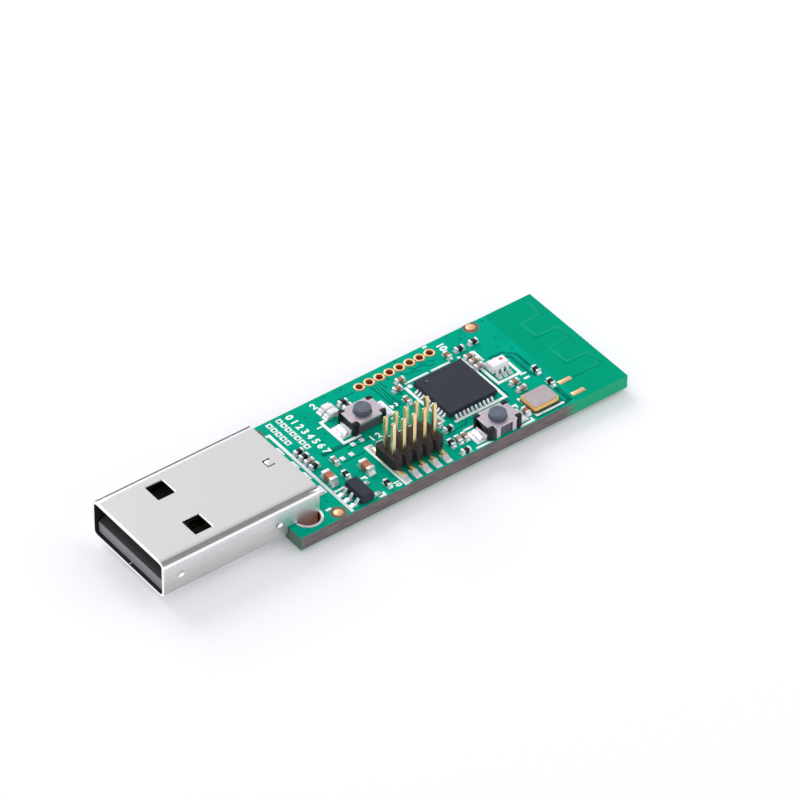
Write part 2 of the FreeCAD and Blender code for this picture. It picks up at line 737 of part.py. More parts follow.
# Radio chip
def radio_lands(name, length, width, height, inset, z):
    """A box for each land or pad round the chip: inset is the chip's edge to the box's outer end."""
    boxes = []
    count = int(number("lands_per_side"))
    reach = f"(radio_side / 2 - {inset} - ({length}) / 2)"
    for index in range(count):
        offset = f"(({index} - (lands_per_side - 1) / 2) * land_pitch)"
        for sign in (-1, 1):
            x, y = on_board("radio_x"), "radio_y"
            boxes.append(centred_box(name, width, length, height, f"{x} + {offset}", f"{y} + {sign} * {reach}", z))
            boxes.append(centred_box(name, length, width, height, f"{x} + {sign} * {reach}", f"{y} + {offset}", z))
    return boxes


def radio_chip():
    """A moulded square on a lower foot, with the lands seated in the ledge round the foot."""
    body = new_body("radio_moulded")
    foot = new_sketch(body, "radio_foot_outline", "XY_Plane")
    half_foot = "(radio_side / 2 - land_length)"
    draw_rectangle(foot, (f"-{half_foot}", f"-{half_foot}"), (half_foot, half_foot))
    pad(body, "radio_foot", foot, "land_height")
    outline = new_sketch(body, "radio_outline", "XY_Plane", "land_height")
    draw_rectangle(outline, ("-radio_side / 2", "-radio_side / 2"), ("radio_side / 2", "radio_side / 2"))
    pad(body, "radio_block", outline, "radio_height - land_height")
    mark = new_sketch(body, "radio_mark_outline", "XY_Plane", "radio_height")
    draw_circle(mark, "mark_inset - radio_side / 2", "radio_side / 2 - mark_inset", "mark_radius")
    pocket(body, "radio_mark", mark, "mark_depth")
    return place(body, on_board("radio_x"), "radio_y", PAD_TOP)


# Crystal
def rounded_plate(name, length, width, height, z):
    body = new_body(name)
    outline = new_sketch(body, name + "_outline", "XY_Plane")
    draw_rectangle(outline, (f"-({length}) / 2", f"-({width}) / 2"), (f"({length}) / 2", f"({width}) / 2"))
    plate = pad(body, name + "_plate", outline, height)
    fillet(body, name + "_corners", plate, lambda edge: runs_along(edge, Z_AXIS), "crystal_corner")
    return place(body, on_board("crystal_x"), CRYSTAL_Y, z)


def crystal():
    ring_level = f"({PAD_TOP} + crystal_tray_height)"
    lid_level = f"({ring_level} + crystal_ring_height)"
    lid_length = "crystal_length - 2 * crystal_lid_margin"
    lid_width = "crystal_width - 2 * crystal_lid_margin"
    spot = (on_board("crystal_x"), CRYSTAL_Y, PAD_TOP)
    tray = centred_box("crystal_tray_body", "crystal_length", "crystal_width", "crystal_tray_height", *spot)
    ring = rounded_plate("crystal_ring_body", "crystal_length", "crystal_width", "crystal_ring_height", ring_level)
    lid = rounded_plate("crystal_lid_body", lid_length, lid_width, "crystal_lid_height", lid_level)
    return tray, ring, lid


# Header
def header_pin(name, column, side_sign):
    """A square pin with a tapered tip, bent outwards into a foot under the body."""
    row = "(header_pitch / 2)"
    near, far = f"({row} - pin_side / 2)", f"({row} + pin_side / 2)"
    quarter = "pin_side / 4"
    corners = [
        (near, 0),
        ("pin_foot_reach", 0),
        ("pin_foot_reach", "pin_side"),
        (far, "pin_side"),
        (far, "pin_height - pin_tip"),
        (f"{row} + {quarter}", "pin_height"),
        (f"{row} - {quarter}", "pin_height"),
        (near, "pin_height - pin_tip"),
    ]
    pin = bent_strip(name, "pin_side", corners, (0,), "pin_bend")
    x = f"{on_board('header_x')} + ({column} - (header_columns - 1) / 2) * header_pitch"
    return place(pin, x, HEADER_Y, PAD_TOP, side_sign * QUARTER_TURN)


def header_body(pins):
    body = new_body("header_moulded")
    outline = new_sketch(body, "header_outline", "XY_Plane")
    half_length = "(header_pitch * header_columns / 2)"
    half_width = "(header_body_width / 2)"
    draw_rectangle(outline, (f"-{half_length}", f"-{half_width}"), (half_length, half_width))
    block = pad(body, "header_block", outline, "header_body_top - header_body_lift")
    corners = chamfer(body, "header_corners", block, lambda edge: runs_along(edge, Z_AXIS), "header_corner_cut")
    notches = new_sketch(body, "header_notch_outline", "XY_Plane", "header_body_top - header_body_lift")
    middle = f"(header_pitch - {half_length})"
    for side_sign in (-1, 1):
        edge = f"{side_sign} * {half_width}"
        inner = f"{side_sign} * ({half_width} - header_notch_depth)"
        ends = [(f"{middle} - header_notch_width / 2", edge), (f"{middle} + header_notch_width / 2", edge)]
        if side_sign > 0:
            ends.reverse()
        draw_outline(notches, ends + [(middle, inner)])
    notch = pocket(body, "header_notches", notches, "header_body_top - header_body_lift")
    row_of(body, "header_notch_row", notch, "header_pitch", "header_columns - 1")
    place(body, on_board("header_x"), HEADER_Y, f"{PAD_TOP} + header_body_lift")
    return cut("header_with_pins", body, group("header_pin_channels", pins))


# Push switches: base, two terminals, spring dome, plunger and folded cover
def switch_terminals(name, x, y, turn):
    half = "(base_length / 2)"
    level = "terminal_level"
    corners = [
        ("terminal_root", level),
        (f"{half} + cover_gap", level),
        (f"{half} + cover_gap", 0),
        ("terminal_reach", 0),
        ("terminal_reach", "terminal_thickness"),
        (f"{half} + cover_gap + terminal_thickness", "terminal_thickness"),
        (f"{half} + cover_gap + terminal_thickness", f"{level} + terminal_thickness"),
        ("terminal_root", f"{level} + terminal_thickness"),
    ]
    terminals = []
    for side_name, side_turn in (("right", 0), ("left", HALF_TURN)):
        strip = bent_strip(f"{name}_{side_name}_terminal", "terminal_width", corners, (6,), "terminal_bend")
        terminals.append(place(strip, on_board(x), y, PAD_TOP, turn + side_turn))
    return group(name + "_terminal_pair", terminals)


def switch_base(name, x, y, turn, terminals):
    body = new_body(name + "_base_body")
    outline = new_sketch(body, name + "_base_outline", "XY_Plane")
    draw_rectangle(outline, ("-base_length / 2", "-base_width / 2"), ("base_length / 2", "base_width / 2"))
    pad(body, name + "_base_block", outline, "base_height")
    posts = new_sketch(body, name + "_post_outline", "XY_Plane")
    half_length, half_width = "(base_length / 2 + post_proud)", "(base_width / 2 + post_proud)"
    left_post = (f"-{half_length}", f"post_side - {half_length}")
    right_post = (f"{half_length} - post_side", half_length)
    for left, right in (left_post, right_post):
        draw_rectangle(posts, (left, f"-{half_width}"), (right, f"post_side - {half_width}"))
        draw_rectangle(posts, (left, f"{half_width} - post_side"), (right, half_width))
    columns = pad(body, name + "_posts", posts, "base_height + cover_thickness")
    reach = math.hypot(
        number("base_length") / 2 + number("post_proud"),
        number("base_width") / 2 + number("post_proud"),
    )

    def at_an_outer_corner(edge):
        spot = edge.Vertexes[0].Point
        return runs_along(edge, Z_AXIS) and abs(math.hypot(spot.x, spot.y) - reach) < CLOSE

    fillet(body, name + "_post_corners", columns, at_an_outer_corner, "post_radius")
    well = new_sketch(body, name + "_well_outline", "XY_Plane", "base_height")
    draw_circle(well, 0, 0, "well_radius")
    pocket(body, name + "_well", well, "base_height - well_floor")
    place(body, on_board(x), y, PAD_TOP, turn)
    return cut(name + "_base_with_slots", body, terminals)


def switch_cover(name, x, y, turn):
    body = new_body(name + "_cover_body")
    half_width = "(base_width / 2 + cover_gap + cover_thickness)"
    half_length = "(cover_length / 2)"
    plate = new_sketch(body, name + "_plate_outline", "XY_Plane", "base_height")
    inner = f"({half_width} - cover_notch)"
    shoulder = f"({half_length} - cover_notch)"
    draw_outline(
        plate,
        [
            (f"-{shoulder}", f"-{half_width}"),
            (shoulder, f"-{half_width}"),
            (shoulder, f"-{inner}"),
            (half_length, f"-{inner}"),
            (half_length, inner),
            (shoulder, inner),
            (shoulder, half_width),
            (f"-{shoulder}", half_width),
            (f"-{shoulder}", inner),
            (f"-{half_length}", inner),
            (f"-{half_length}", f"-{inner}"),
            (f"-{shoulder}", f"-{inner}"),
        ],
    )
    pad(body, name + "_plate", plate, "cover_thickness")
    lip = new_sketch(body, name + "_lip_outline", "XY_Plane", "base_height + cover_thickness - lip_depth")
    draw_rectangle(lip, (f"-{shoulder}", f"-{half_width}"), (shoulder, f"-{half_width} + cover_thickness"))
    pad(body, name + "_lip", lip, "lip_depth")
    legs = new_sketch(body, name + "_leg_outline", "XY_Plane")
    for side_sign in (-1, 1):
        middle = f"({side_sign} * leg_spread / 2)"
        low = (f"{middle} - leg_width / 2", f"{half_width} - cover_thickness")
        high = (f"{middle} + leg_width / 2", half_width)
        draw_rectangle(legs, low, high)
    folded = pad(body, name + "_legs", legs, "base_height + cover_thickness")
    top = number("base_height") + number("cover_thickness")
    side = number("base_width") / 2 + number("cover_gap") + number("cover_thickness")

    def at_a_fold(edge):
        spot = edge.Vertexes[0].Point
        return runs_along(edge, X_AXIS) and abs(spot.z - top) < CLOSE and abs(abs(spot.y) - side) < CLOSE

    fillet(body, name + "_folds", folded, at_a_fold, "cover_bend")
    hole = new_sketch(body, name + "_hole_outline", "XY_Plane", "base_height + cover_thickness")
    draw_circle(hole, 0, 0, "plunger_radius + cover_hole_clearance")
    pocket(body, name + "_cover_hole", hole, "cover_thickness")
    return place(body, on_board(x), y, PAD_TOP, turn)


def switch_dome(name, x, y):
    """A thin cap of spring steel with a flat crown, which snaps through under the plunger."""
    body = new_body(name + "_dome_body")
    section = new_sketch(body, name + "_dome_section", "XZ_Plane")
    draw_outline(
        section,
        [
            ("dome_radius - dome_rim_width", 0),
            ("dome_radius", 0),
            ("dome_crown_radius", "dome_height"),
            (0, "dome_height"),
            (0, "dome_height - dome_thickness"),
            ("dome_crown_radius", "dome_height - dome_thickness"),
        ],
    )
    revolution(body, name + "_dome_turned", section)
    return place(body, on_board(x), y, f"{PAD_TOP} + well_floor")


def switch_plunger(name, x, y):
    body = new_body(name + "_plunger_body")
    section = new_sketch(body, name + "_plunger_section", "XZ_Plane")
    low = "(well_floor + dome_height + dome_clearance)"
    shoulder = "(base_height - flange_clearance)"
    draw_outline(
        section,
        [
            (0, low),
            ("flange_radius", low),
            ("flange_radius", shoulder),
            ("plunger_radius", shoulder),
            ("plunger_radius", "plunger_top - plunger_edge"),
            ("plunger_radius - plunger_edge", "plunger_top"),
            (0, "plunger_top"),
        ],
    )
    revolution(body, name + "_plunger_turned", section)
    return place(body, on_board(x), y, PAD_TOP)


# Small parts soldered by both ends
def end_capped_chip(name, length, width, height, cap):
    body_sides = (f"{length} - 2 * chip_step", f"{width} - 2 * chip_step", f"{height} - chip_step")
    body = centred_box(name + "_body", *body_sides)
    ends = []
    for side_sign in (-1, 1):
        middle = f"({side_sign} * ({length} - {cap}) / 2)"
        ends.append(centred_box(name + "_end", cap, width, height, middle))
    return fuse(name, [body] + ends)


def status_light(name, x, y):
    base = centred_box(name + "_base", "light_length", "light_width", "light_base_height")
    lens_height = "light_height - light_base_height"
    lens = centred_box(name + "_lens", "light_lens_length", "light_width", lens_height, 0, 0, "light_base_height")
    return place(fuse(name, [base, lens]), on_board(x), y, PAD_TOP)


# Places on the board that the small parts are laid out from, each as x behind its front edge and y
HOSTS = {
    "plug": ("board_overlap", "0"),
    "regulator": ("regulator_x", REGULATOR_Y),
    "far switch": ("far_switch_x", "far_switch_y"),
    "header's right end": ("(header_x + header_pitch * header_columns / 2)", NEAR_SWITCH_Y),
    "radio's left side": ("(radio_x - radio_side / 2 - land_toe)", "radio_y"),
    "radio's left corner": ("(radio_x - radio_side / 2 - land_toe)", "(radio_y + radio_side / 2 + land_toe)"),
    "radio's right corner": ("(radio_x + radio_side / 2 + land_toe)", "(radio_y + radio_side / 2 + land_toe)"),
    "crystal": ("crystal_x", CRYSTAL_Y),
    "front edge": ("0", "0"),
    "front near corner": ("0", NEAR_EDGE),
    "front far corner": ("0", FAR_EDGE),
    "end near corner": ("board_length", NEAR_EDGE),
    "end far corner": ("board_length", FAR_EDGE),
}

# Each small chip by kind, host, steps of the layout grid along X and Y, and turn
CHIP_PLACES = [
    ("resistor", "plug", 70, 44, 0),
    ("resistor", "plug", 70, 26, 0),
    ("inductor", "plug", 70, 9, 0),
    ("resistor", "plug", 70, -8, 0),
    ("inductor", "regulator", 19, 106, QUARTER_TURN),
    ("resistor", "regulator", 12, 60, QUARTER_TURN),
    ("resistor", "regulator", 62, -10, QUARTER_TURN),
    ("resistor", "far switch", 1, 66, 0),
    ("resistor", "far switch", 1, 50, 0),
    ("capacitor", "radio's left corner", -2, 24, 0),
    ("capacitor", "radio's left corner", -22, 6, 0),
    ("capacitor", "radio's left side", -27, 34, QUARTER_TURN),
    ("capacitor", "radio's left side", -20, -58, QUARTER_TURN),
    ("resistor", "radio's left side", -14, -84, 0),
    ("resistor", "header's right end", 20, 11, QUARTER_TURN),
    ("inductor", "header's right end", 38, 11, QUARTER_TURN),
    ("capacitor", "header's right end", 54, 11, QUARTER_TURN),
    ("resistor", "header's right end", 30, -24, 0),
    ("capacitor", "crystal", -42, -10, QUARTER_TURN),
    ("capacitor", "crystal", -6, 74, 0),
    ("inductor", "crystal", -6, 50, 0),
    ("resistor", "crystal", 53, 78, QUARTER_TURN),
    ("resistor", "crystal", 53, 30, QUARTER_TURN),
    ("capacitor", "radio's right corner", -14, 28, QUARTER_TURN),
    ("resistor", "radio's right corner", 18, 30, 0),
    ("resistor", "radio's right corner", 54, 31, 0),
    ("capacitor", "radio's right corner", 19, 0, 0),
    ("capacitor", "radio's right corner", 19, -18, 0),
    ("inductor", "radio's right corner", 17, -36, 0),
]
BULK_PLACES = {
    "front_bulk_capacitor": ("regulator", -22, 69),
    "rear_bulk_capacitor": ("regulator", 56, 51),
}
LIGHT_PLACES = {
    "far_status_light": ("far switch", -37, 70),
    "near_status_light": ("far switch", -37, 51),
}
# Bare pads, and the round marks that a placing machine aims at
SPARE_PADS = [("front edge", 206, -20), ("front edge", 228, -20), ("front edge", 248, 2), ("front edge", 270, 2)]
ANTENNA_PADS = [("end near corner", -112, 63), ("end near corner", -112, 20)]
AIMING_MARKS = [("end far corner", -163, -12), ("front near corner", 104, 17), ("front far corner", 106, -20)]


def on_grid(host, across, along):
    x, y = HOSTS[host]
    return f"({x} + {across} * layout_grid)", f"({y} + {along} * layout_grid)"


def end_pads(x, y, turn, length, pad_length, pad_width, reach):
    """The two pads under the ends of a small part."""
    pads = []
    for side_sign in (-1, 1):
        offset = f"{side_sign} * ({length} / 2 + {reach} - {pad_length} / 2)"
        if turn == 0:
            pads.append(pad_box("end_pad", pad_length, pad_width, f"{x} + {offset}", y))
        else:
            pads.append(pad_box("end_pad", pad_width, pad_length, x, f"{y} + {offset}"))
    return pads


def pad_box(name, length, width, x, y):
    return centred_box(name, length, width, "pad_thickness", on_board(x), y, BOARD_TOP)


def copper_pads():
    pads = radio_lands("radio_pad", "land_length + land_toe", "land_width", "pad_thickness", "(-land_toe)", BOARD_TOP)
    for _kind, host, across, along, turn in CHIP_PLACES:
        x, y = on_grid(host, across, along)
        pads += end_pads(x, y, turn, "chip_length", "chip_pad_length", "chip_pad_width", "chip_pad_reach")
    for place_on_grid in BULK_PLACES.values():
        x, y = on_grid(*place_on_grid)
        pads += end_pads(x, y, QUARTER_TURN, "bulk_length", "bulk_pad_length", "bulk_width", "bulk_pad_reach")
    for place_on_grid in LIGHT_PLACES.values():
        x, y = on_grid(*place_on_grid)
        pads += end_pads(x, y, 0, "light_length", "bulk_pad_length", "light_width", "bulk_pad_reach")
    for column in range(int(number("header_columns"))):
        x = f"header_x + ({column} - (header_columns - 1) / 2) * header_pitch"
        for side_sign in (-1, 1):
            y = f"{HEADER_Y} + {side_sign} * (pin_pad_reach - pin_pad_length / 2)"
            pads.append(pad_box("pin_pad", "pin_pad_width", "pin_pad_length", x, y))
    for x, y in (("far_switch_x", "far_switch_y"), ("near_switch_x", NEAR_SWITCH_Y)):
        for side_sign in (-1, 1):
            spot = f"{x} + {side_sign} * (switch_pad_reach - switch_pad_length / 2)"
            pads.append(pad_box("switch_pad", "switch_pad_length", "switch_pad_width", spot, y))
    for side_sign, rows in ((-1, (-1, 0, 1)), (1, (-1, 1))):
        for row in rows:
            x = f"regulator_x + {side_sign} * regulator_reach"
            y = f"{REGULATOR_Y} + {row} * regulator_lead_pitch"
            pads.append(pad_box("regulator_pad", "small_pad_length", "small_pad_width", x, y))
    for side_sign in (-1, 1):
        for column in (-1, 0, 1):
            x = f"coupler_x + {column} * coupler_lead_pitch"
            y = f"coupler_y + {side_sign} * coupler_reach"
            pads.append(pad_box("coupler_pad", "small_pad_width", "small_pad_length", x, y))
    for spread in ("outer_contact_spread", "inner_contact_spread"):
        for side_sign in (-1, 1):
            x = "board_overlap + contact_drop + contact_foot_length / 2"
            length = "contact_foot_length + 2 * pad_margin"
            pads.append(pad_box("plug_pad", length, "contact_width + pad_margin", x, f"{side_sign} * {spread} / 2"))
    for place_on_grid in SPARE_PADS:
        pads.append(pad_box("spare_pad", "chip_pad_length", "chip_pad_width", *on_grid(*place_on_grid)))
    for place_on_grid in ANTENNA_PADS:
        pads.append(pad_box("antenna_pad", "antenna_pad_length", "chip_pad_width", *on_grid(*place_on_grid)))
    for place_on_grid in AIMING_MARKS:
        x, y = on_grid(*place_on_grid)
        pads.append(cylinder("aiming_mark", "fiducial_radius", "pad_thickness", on_board(x), y, BOARD_TOP))
    return group("pad_group", pads)


# Assembly of the document
shell = node("plug_shell", plug_shell())
contacts = []
for contact_name, spread, sign in (
    ("power_contact", "outer_contact_spread", 1),
    ("data_contact_far", "inner_contact_spread", 1),
    ("data_contact_near", "inner_contact_spread", -1),
    ("ground_contact", "outer_contact_spread", -1),
):
    contacts.append(node(contact_name, plug_contact(contact_name + "_strip", f"{sign} * {spread} / 2")))
node("plug_insulator", plug_insulator(contacts))
node("circuit_board", circuit_board())
node("signal_hole_rings", signal_hole_rings())
node("lug_hole_rings", lug_hole_rings())
node("lug_solder", lug_solder(shell))
node("copper_pads", copper_pads())

node("radio_chip", radio_chip())
lands = radio_lands("radio_land", "land_length", "land_width", "land_height", "0", PAD_TOP)
node("radio_chip_lands", group("radio_land_group", lands))
regulator_body, regulator_leads = leaded_part(
    "regulator", "regulator_x", REGULATOR_Y, 0, "regulator_width", "regulator_length", "regulator_height",
    "regulator_lead_pitch", "regulator_reach + small_lead_foot / 2", (-1, 0, 1), (-1, 1),
)
node("regulator_body", regulator_body)
node("regulator_leads", regulator_leads)
coupler_body, coupler_leads = leaded_part(
    "coupler", "coupler_x", "coupler_y", QUARTER_TURN, "coupler_width", "coupler_length", "coupler_height",
    "coupler_lead_pitch", "coupler_reach + small_lead_foot / 4", (-1, 0, 1), (-1, 0, 1),
)
node("coupler_body", coupler_body)
node("coupler_leads", coupler_leads)
for crystal_name, crystal_piece in zip(("crystal_tray", "crystal_ring", "crystal_lid"), crystal()):
    node(crystal_name, crystal_piece)

pins = []
for row_name, row_sign in (("near", -1), ("far", 1)):
    for column in range(int(number("header_columns"))):
        pin_name = f"{row_name}_pin_{column + 1}"
        pins.append(node(pin_name, header_pin(pin_name + "_bent", column, row_sign)))
node("header_body", header_body(pins))

for switch_name, switch_x, switch_y, switch_turn in (
    ("far_switch", "far_switch_x", "far_switch_y", 0),
    ("near_switch", "near_switch_x", NEAR_SWITCH_Y, HALF_TURN),
):
    terminal_pair = switch_terminals(switch_name, switch_x, switch_y, switch_turn)
    node(switch_name + "_base", switch_base(switch_name, switch_x, switch_y, switch_turn, terminal_pair))
    node(switch_name + "_terminals", terminal_pair)
    node(switch_name + "_dome", switch_dome(switch_name, switch_x, switch_y))
    node(switch_name + "_plunger", switch_plunger(switch_name, switch_x, switch_y))
    node(switch_name + "_cover", switch_cover(switch_name, switch_x, switch_y, switch_turn))

for light_name, place_on_grid in LIGHT_PLACES.items():
    node(light_name, status_light(light_name + "_body", *on_grid(*place_on_grid)))
for bulk_name, place_on_grid in BULK_PLACES.items():
    bulk_x, bulk_y = on_grid(*place_on_grid)
    chip = end_capped_chip(bulk_name + "_chip", "bulk_length", "bulk_width", "bulk_height", "bulk_cap")
    node(bulk_name, place(chip, on_board(bulk_x), bulk_y, PAD_TOP, QUARTER_TURN))
for kind in ("resistor", "capacitor", "inductor"):
    chips = []
    for chip_kind, host, across, along, chip_turn in CHIP_PLACES:
        if chip_kind == kind:
            chip_x, chip_y = on_grid(host, across, along)
            chip = end_capped_chip(kind + "_chip", "chip_length", "chip_width", "chip_height", "chip_cap")
            chips.append(place(chip, on_board(chip_x), chip_y, PAD_TOP, chip_turn))
    node(f"small_{kind}s", group(f"{kind}_group", chips))

# Every object has to be sound before anything is written.
document.recompute()
for thing in document.Objects:
    if "Invalid" in thing.State or "Error" in thing.State:
        raise RuntimeError(f"{thing.Name} failed: {thing.State}")
os.makedirs("parts", exist_ok=True)
for thing in sub_parts:
    if thing.Shape.isNull() or not thing.Shape.isValid():
        raise RuntimeError(f"{thing.Label} has no valid shape")
    thing.Shape.exportStep(os.path.join("parts", thing.Label + ".step"))
print(len(sub_parts), "sub-parts written")
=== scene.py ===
"""The looks of a radio stick: a circuit board with a plug, a radio chip, a pin header and two push buttons."""

import json
import math
import bpy
from mathutils import Matrix, Vector

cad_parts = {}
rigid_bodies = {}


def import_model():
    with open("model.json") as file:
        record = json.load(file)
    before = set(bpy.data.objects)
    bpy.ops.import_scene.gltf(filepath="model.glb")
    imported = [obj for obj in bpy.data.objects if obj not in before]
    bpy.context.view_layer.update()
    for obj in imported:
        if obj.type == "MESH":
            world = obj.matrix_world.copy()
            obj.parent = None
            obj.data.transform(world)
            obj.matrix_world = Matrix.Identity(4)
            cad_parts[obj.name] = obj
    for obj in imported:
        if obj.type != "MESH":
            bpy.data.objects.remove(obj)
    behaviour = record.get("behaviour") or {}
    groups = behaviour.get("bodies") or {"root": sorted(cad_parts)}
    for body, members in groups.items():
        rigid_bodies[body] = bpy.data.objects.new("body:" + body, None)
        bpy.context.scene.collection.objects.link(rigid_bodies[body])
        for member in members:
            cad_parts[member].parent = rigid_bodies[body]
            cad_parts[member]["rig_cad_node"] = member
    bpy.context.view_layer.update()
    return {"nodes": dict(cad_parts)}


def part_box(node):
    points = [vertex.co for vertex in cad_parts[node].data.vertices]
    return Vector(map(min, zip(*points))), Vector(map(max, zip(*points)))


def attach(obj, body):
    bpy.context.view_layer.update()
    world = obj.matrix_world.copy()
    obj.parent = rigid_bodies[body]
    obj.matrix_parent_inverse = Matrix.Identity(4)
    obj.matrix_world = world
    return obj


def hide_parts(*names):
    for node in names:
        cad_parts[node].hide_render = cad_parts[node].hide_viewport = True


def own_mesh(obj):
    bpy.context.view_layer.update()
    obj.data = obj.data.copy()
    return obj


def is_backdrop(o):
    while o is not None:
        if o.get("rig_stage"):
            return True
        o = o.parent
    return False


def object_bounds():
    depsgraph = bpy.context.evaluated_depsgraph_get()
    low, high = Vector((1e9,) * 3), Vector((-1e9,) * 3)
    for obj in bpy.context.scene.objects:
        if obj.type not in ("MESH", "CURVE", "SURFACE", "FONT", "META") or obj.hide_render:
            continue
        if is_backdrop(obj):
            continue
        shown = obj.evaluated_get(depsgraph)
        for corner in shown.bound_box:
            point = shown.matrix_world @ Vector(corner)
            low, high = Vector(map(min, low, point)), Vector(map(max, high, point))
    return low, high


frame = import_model()
MM = 0.001


# Studio
# The photograph was taken on white paper, with one large soft lamp behind the stick and a long soft
# box low on the right. Bright steel shows what stands round it: a card that fades from light grey
# to dark hangs where the plug's top mirrors it, and small grey sheets stand round the plug. Strips
# that only the steel sees lie on the paper: painted shadow and painted light in its reflections.
def paint(red, green, blue):
    """A colour as it reads on a screen, 0 to 255, turned into the linear one that a shader takes."""
    linear = []
    for share in (red / 255, green / 255, blue / 255):
        linear.append(share / 12.92 if share < 0.04045 else ((share + 0.055) / 1.055) ** 2.4)
    return (*linear, 1.0)


def white_where_seen(nodes, links, unseen, seen):
    """A strength that is one value for lighting and another where the camera, gloss or glass sees it."""
    path = nodes.new("ShaderNodeLightPath")
    direct = nodes.new("ShaderNodeMath")
    direct.operation = "MAXIMUM"
    links.new(path.outputs["Is Camera Ray"], direct.inputs[0])
    links.new(path.outputs["Is Glossy Ray"], direct.inputs[1])
    any_of_them = nodes.new("ShaderNodeMath")
    any_of_them.operation = "MAXIMUM"
    links.new(direct.outputs[0], any_of_them.inputs[0])
    links.new(path.outputs["Is Transmission Ray"], any_of_them.inputs[1])
    strength = nodes.new("ShaderNodeMapRange")
    strength.inputs["To Min"].default_value = unseen
    strength.inputs["To Max"].default_value = seen
    links.new(any_of_them.outputs[0], strength.inputs["Value"])
    return strength.outputs["Result"]


world = bpy.data.worlds.new("studio_air")
world.use_nodes = True
bpy.context.scene.world = world
sky = world.node_tree.nodes["Background"]
sky.inputs["Color"].default_value = (0.97, 0.97, 1.0, 1.0)
sky_strength = white_where_seen(world.node_tree.nodes, world.node_tree.links, 0.76, 1.04)
world.node_tree.links.new(sky_strength, sky.inputs["Strength"])

bpy.ops.object.select_all(action="DESELECT")
bpy.ops.mesh.primitive_plane_add(size=3.0, location=(0.0, 0.0, 0.0))
floor = bpy.context.object
floor.name = "paper_floor"
paper = bpy.data.materials.new("white_paper")
paper.use_nodes = True
paper_shader = paper.node_tree.nodes["Principled BSDF"]
paper_shader.inputs["Base Color"].default_value = paint(240, 240, 243)
paper_shader.inputs["Roughness"].default_value = 0.9
paper_shader.inputs["Emission Color"].default_value = (1.0, 1.0, 1.0, 1.0)
paper_strength = white_where_seen(paper.node_tree.nodes, paper.node_tree.links, 0.0, 0.14)
paper.node_tree.links.new(paper_strength, paper_shader.inputs["Emission Strength"])
floor.data.materials.append(paper)
floor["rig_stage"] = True


def aim(thing, place, target=(0.0, 0.0, 0.0)):
    thing.location = place
    direction = Vector(target) - Vector(place)
    thing.rotation_euler = direction.to_track_quat("-Z", "Y").to_euler()


for lamp_name, lamp_place, lamp_width, lamp_height, lamp_power in (
    ("back_soft_lamp", (0.02, 0.42, 0.31), 0.30, 0.30, 1.15),
    ("right_soft_box", (0.26, -0.38, 0.20), 0.50, 0.16, 0.30),
):
    bpy.ops.object.light_add(type="AREA")
    lamp = bpy.context.object
    lamp.name = lamp_name
    lamp.data.shape = "RECTANGLE"
    lamp.data.size = lamp_width
    lamp.data.size_y = lamp_height
    lamp.data.energy = lamp_power
    aim(lamp, lamp_place)



def mirrored_paper(name, place, size, turn, from_share, to_share, from_strength, to_strength):
    """Paper that only mirrors see. It fades along its Y from one strength to another, between two shares."""
    bpy.ops.mesh.primitive_plane_add(size=1.0, location=place)
    sheet = bpy.context.object
    sheet.name = name
    sheet.scale = (*size, 1.0)
    sheet.rotation_euler = turn
    glowing = bpy.data.materials.new(name + "_glow")
    glowing.use_nodes = True
    nodes = glowing.node_tree.nodes
    links = glowing.node_tree.links
    sheet_place = nodes.new("ShaderNodeTexCoord")
    axes = nodes.new("ShaderNodeSeparateXYZ")
    fade = nodes.new("ShaderNodeMapRange")
    fade.interpolation_type = "SMOOTHSTEP"
    fade.inputs["From Min"].default_value = from_share
    fade.inputs["From Max"].default_value = to_share
    fade.inputs["To Min"].default_value = from_strength
    fade.inputs["To Max"].default_value = to_strength
    glow = nodes.new("ShaderNodeEmission")
    links.new(sheet_place.outputs["Object"], axes.inputs["Vector"])
    links.new(axes.outputs["Y"], fade.inputs["Value"])
    links.new(fade.outputs["Result"], glow.inputs["Strength"])
    links.new(glow.outputs["Emission"], nodes["Material Output"].inputs["Surface"])
    sheet.data.materials.append(glowing)
    sheet.visible_camera = False
    sheet.visible_diffuse = False
    sheet.visible_shadow = False
    sheet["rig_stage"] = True


card_facing = Vector((0.47, 0.37, 0.80)).normalized()
card_upwards = Vector((0.0, -0.92, 0.38))
card_upwards = (card_upwards - card_upwards.dot(card_facing) * card_facing).normalized()
card_turn = Matrix((card_upwards.cross(-card_facing), card_upwards, -card_facing)).transposed().to_euler()
card_place = card_facing * 0.5 + card_upwards * 0.21
level = (0.0, 0.0, 0.0)
upright = (math.pi / 2, 0.0, 0.0)
mirrored_paper("fading_card", card_place, (0.60, 0.88), card_turn, -0.42, 0.17, 0.68, 0.22)
opposite_facing = Vector((-0.50, -0.62, 0.60)).normalized()
opposite_turn = opposite_facing.to_track_quat("Z", "Y").to_euler()
mirrored_paper("pale_card_opposite", opposite_facing * 0.6, (0.9, 0.7), opposite_turn, -0.5, 0.5, 0.80, 0.55)
mirrored_paper("dark_sheet_in_front", (0.0105, -0.05, 0.0425), (0.041, 0.055), upright, -0.5, 0.5, 0.22, 0.22)
mirrored_paper("dark_sheet_behind", (-0.0075, 0.03, 0.00875), (0.03, 0.0175), upright, -0.5, 0.5, 0.16, 0.16)
# Strips on the paper that only the steel sees: painted shade behind, painted shadow in front that darkens towards the
# plug, and painted light by the mouth where the plug shades the paper.
mirrored_paper("painted_shade_strip_behind", (-0.01, 0.026, 0.0001), (0.036, 0.034), level, -0.5, 0.5, 0.08, 0.3)
mirrored_paper("painted_shadow_strip_in_front", (-0.014, -0.0105, 0.0001), (0.034, 0.009), level, 0.5, -0.5, 0.34, 1.05)
mirrored_paper("painted_light_strip_by_the_mouth", (-0.0365, 0.004, 0.0001), (0.0169, 0.034), level, -0.5, 0.5, 1.0, 1.0)

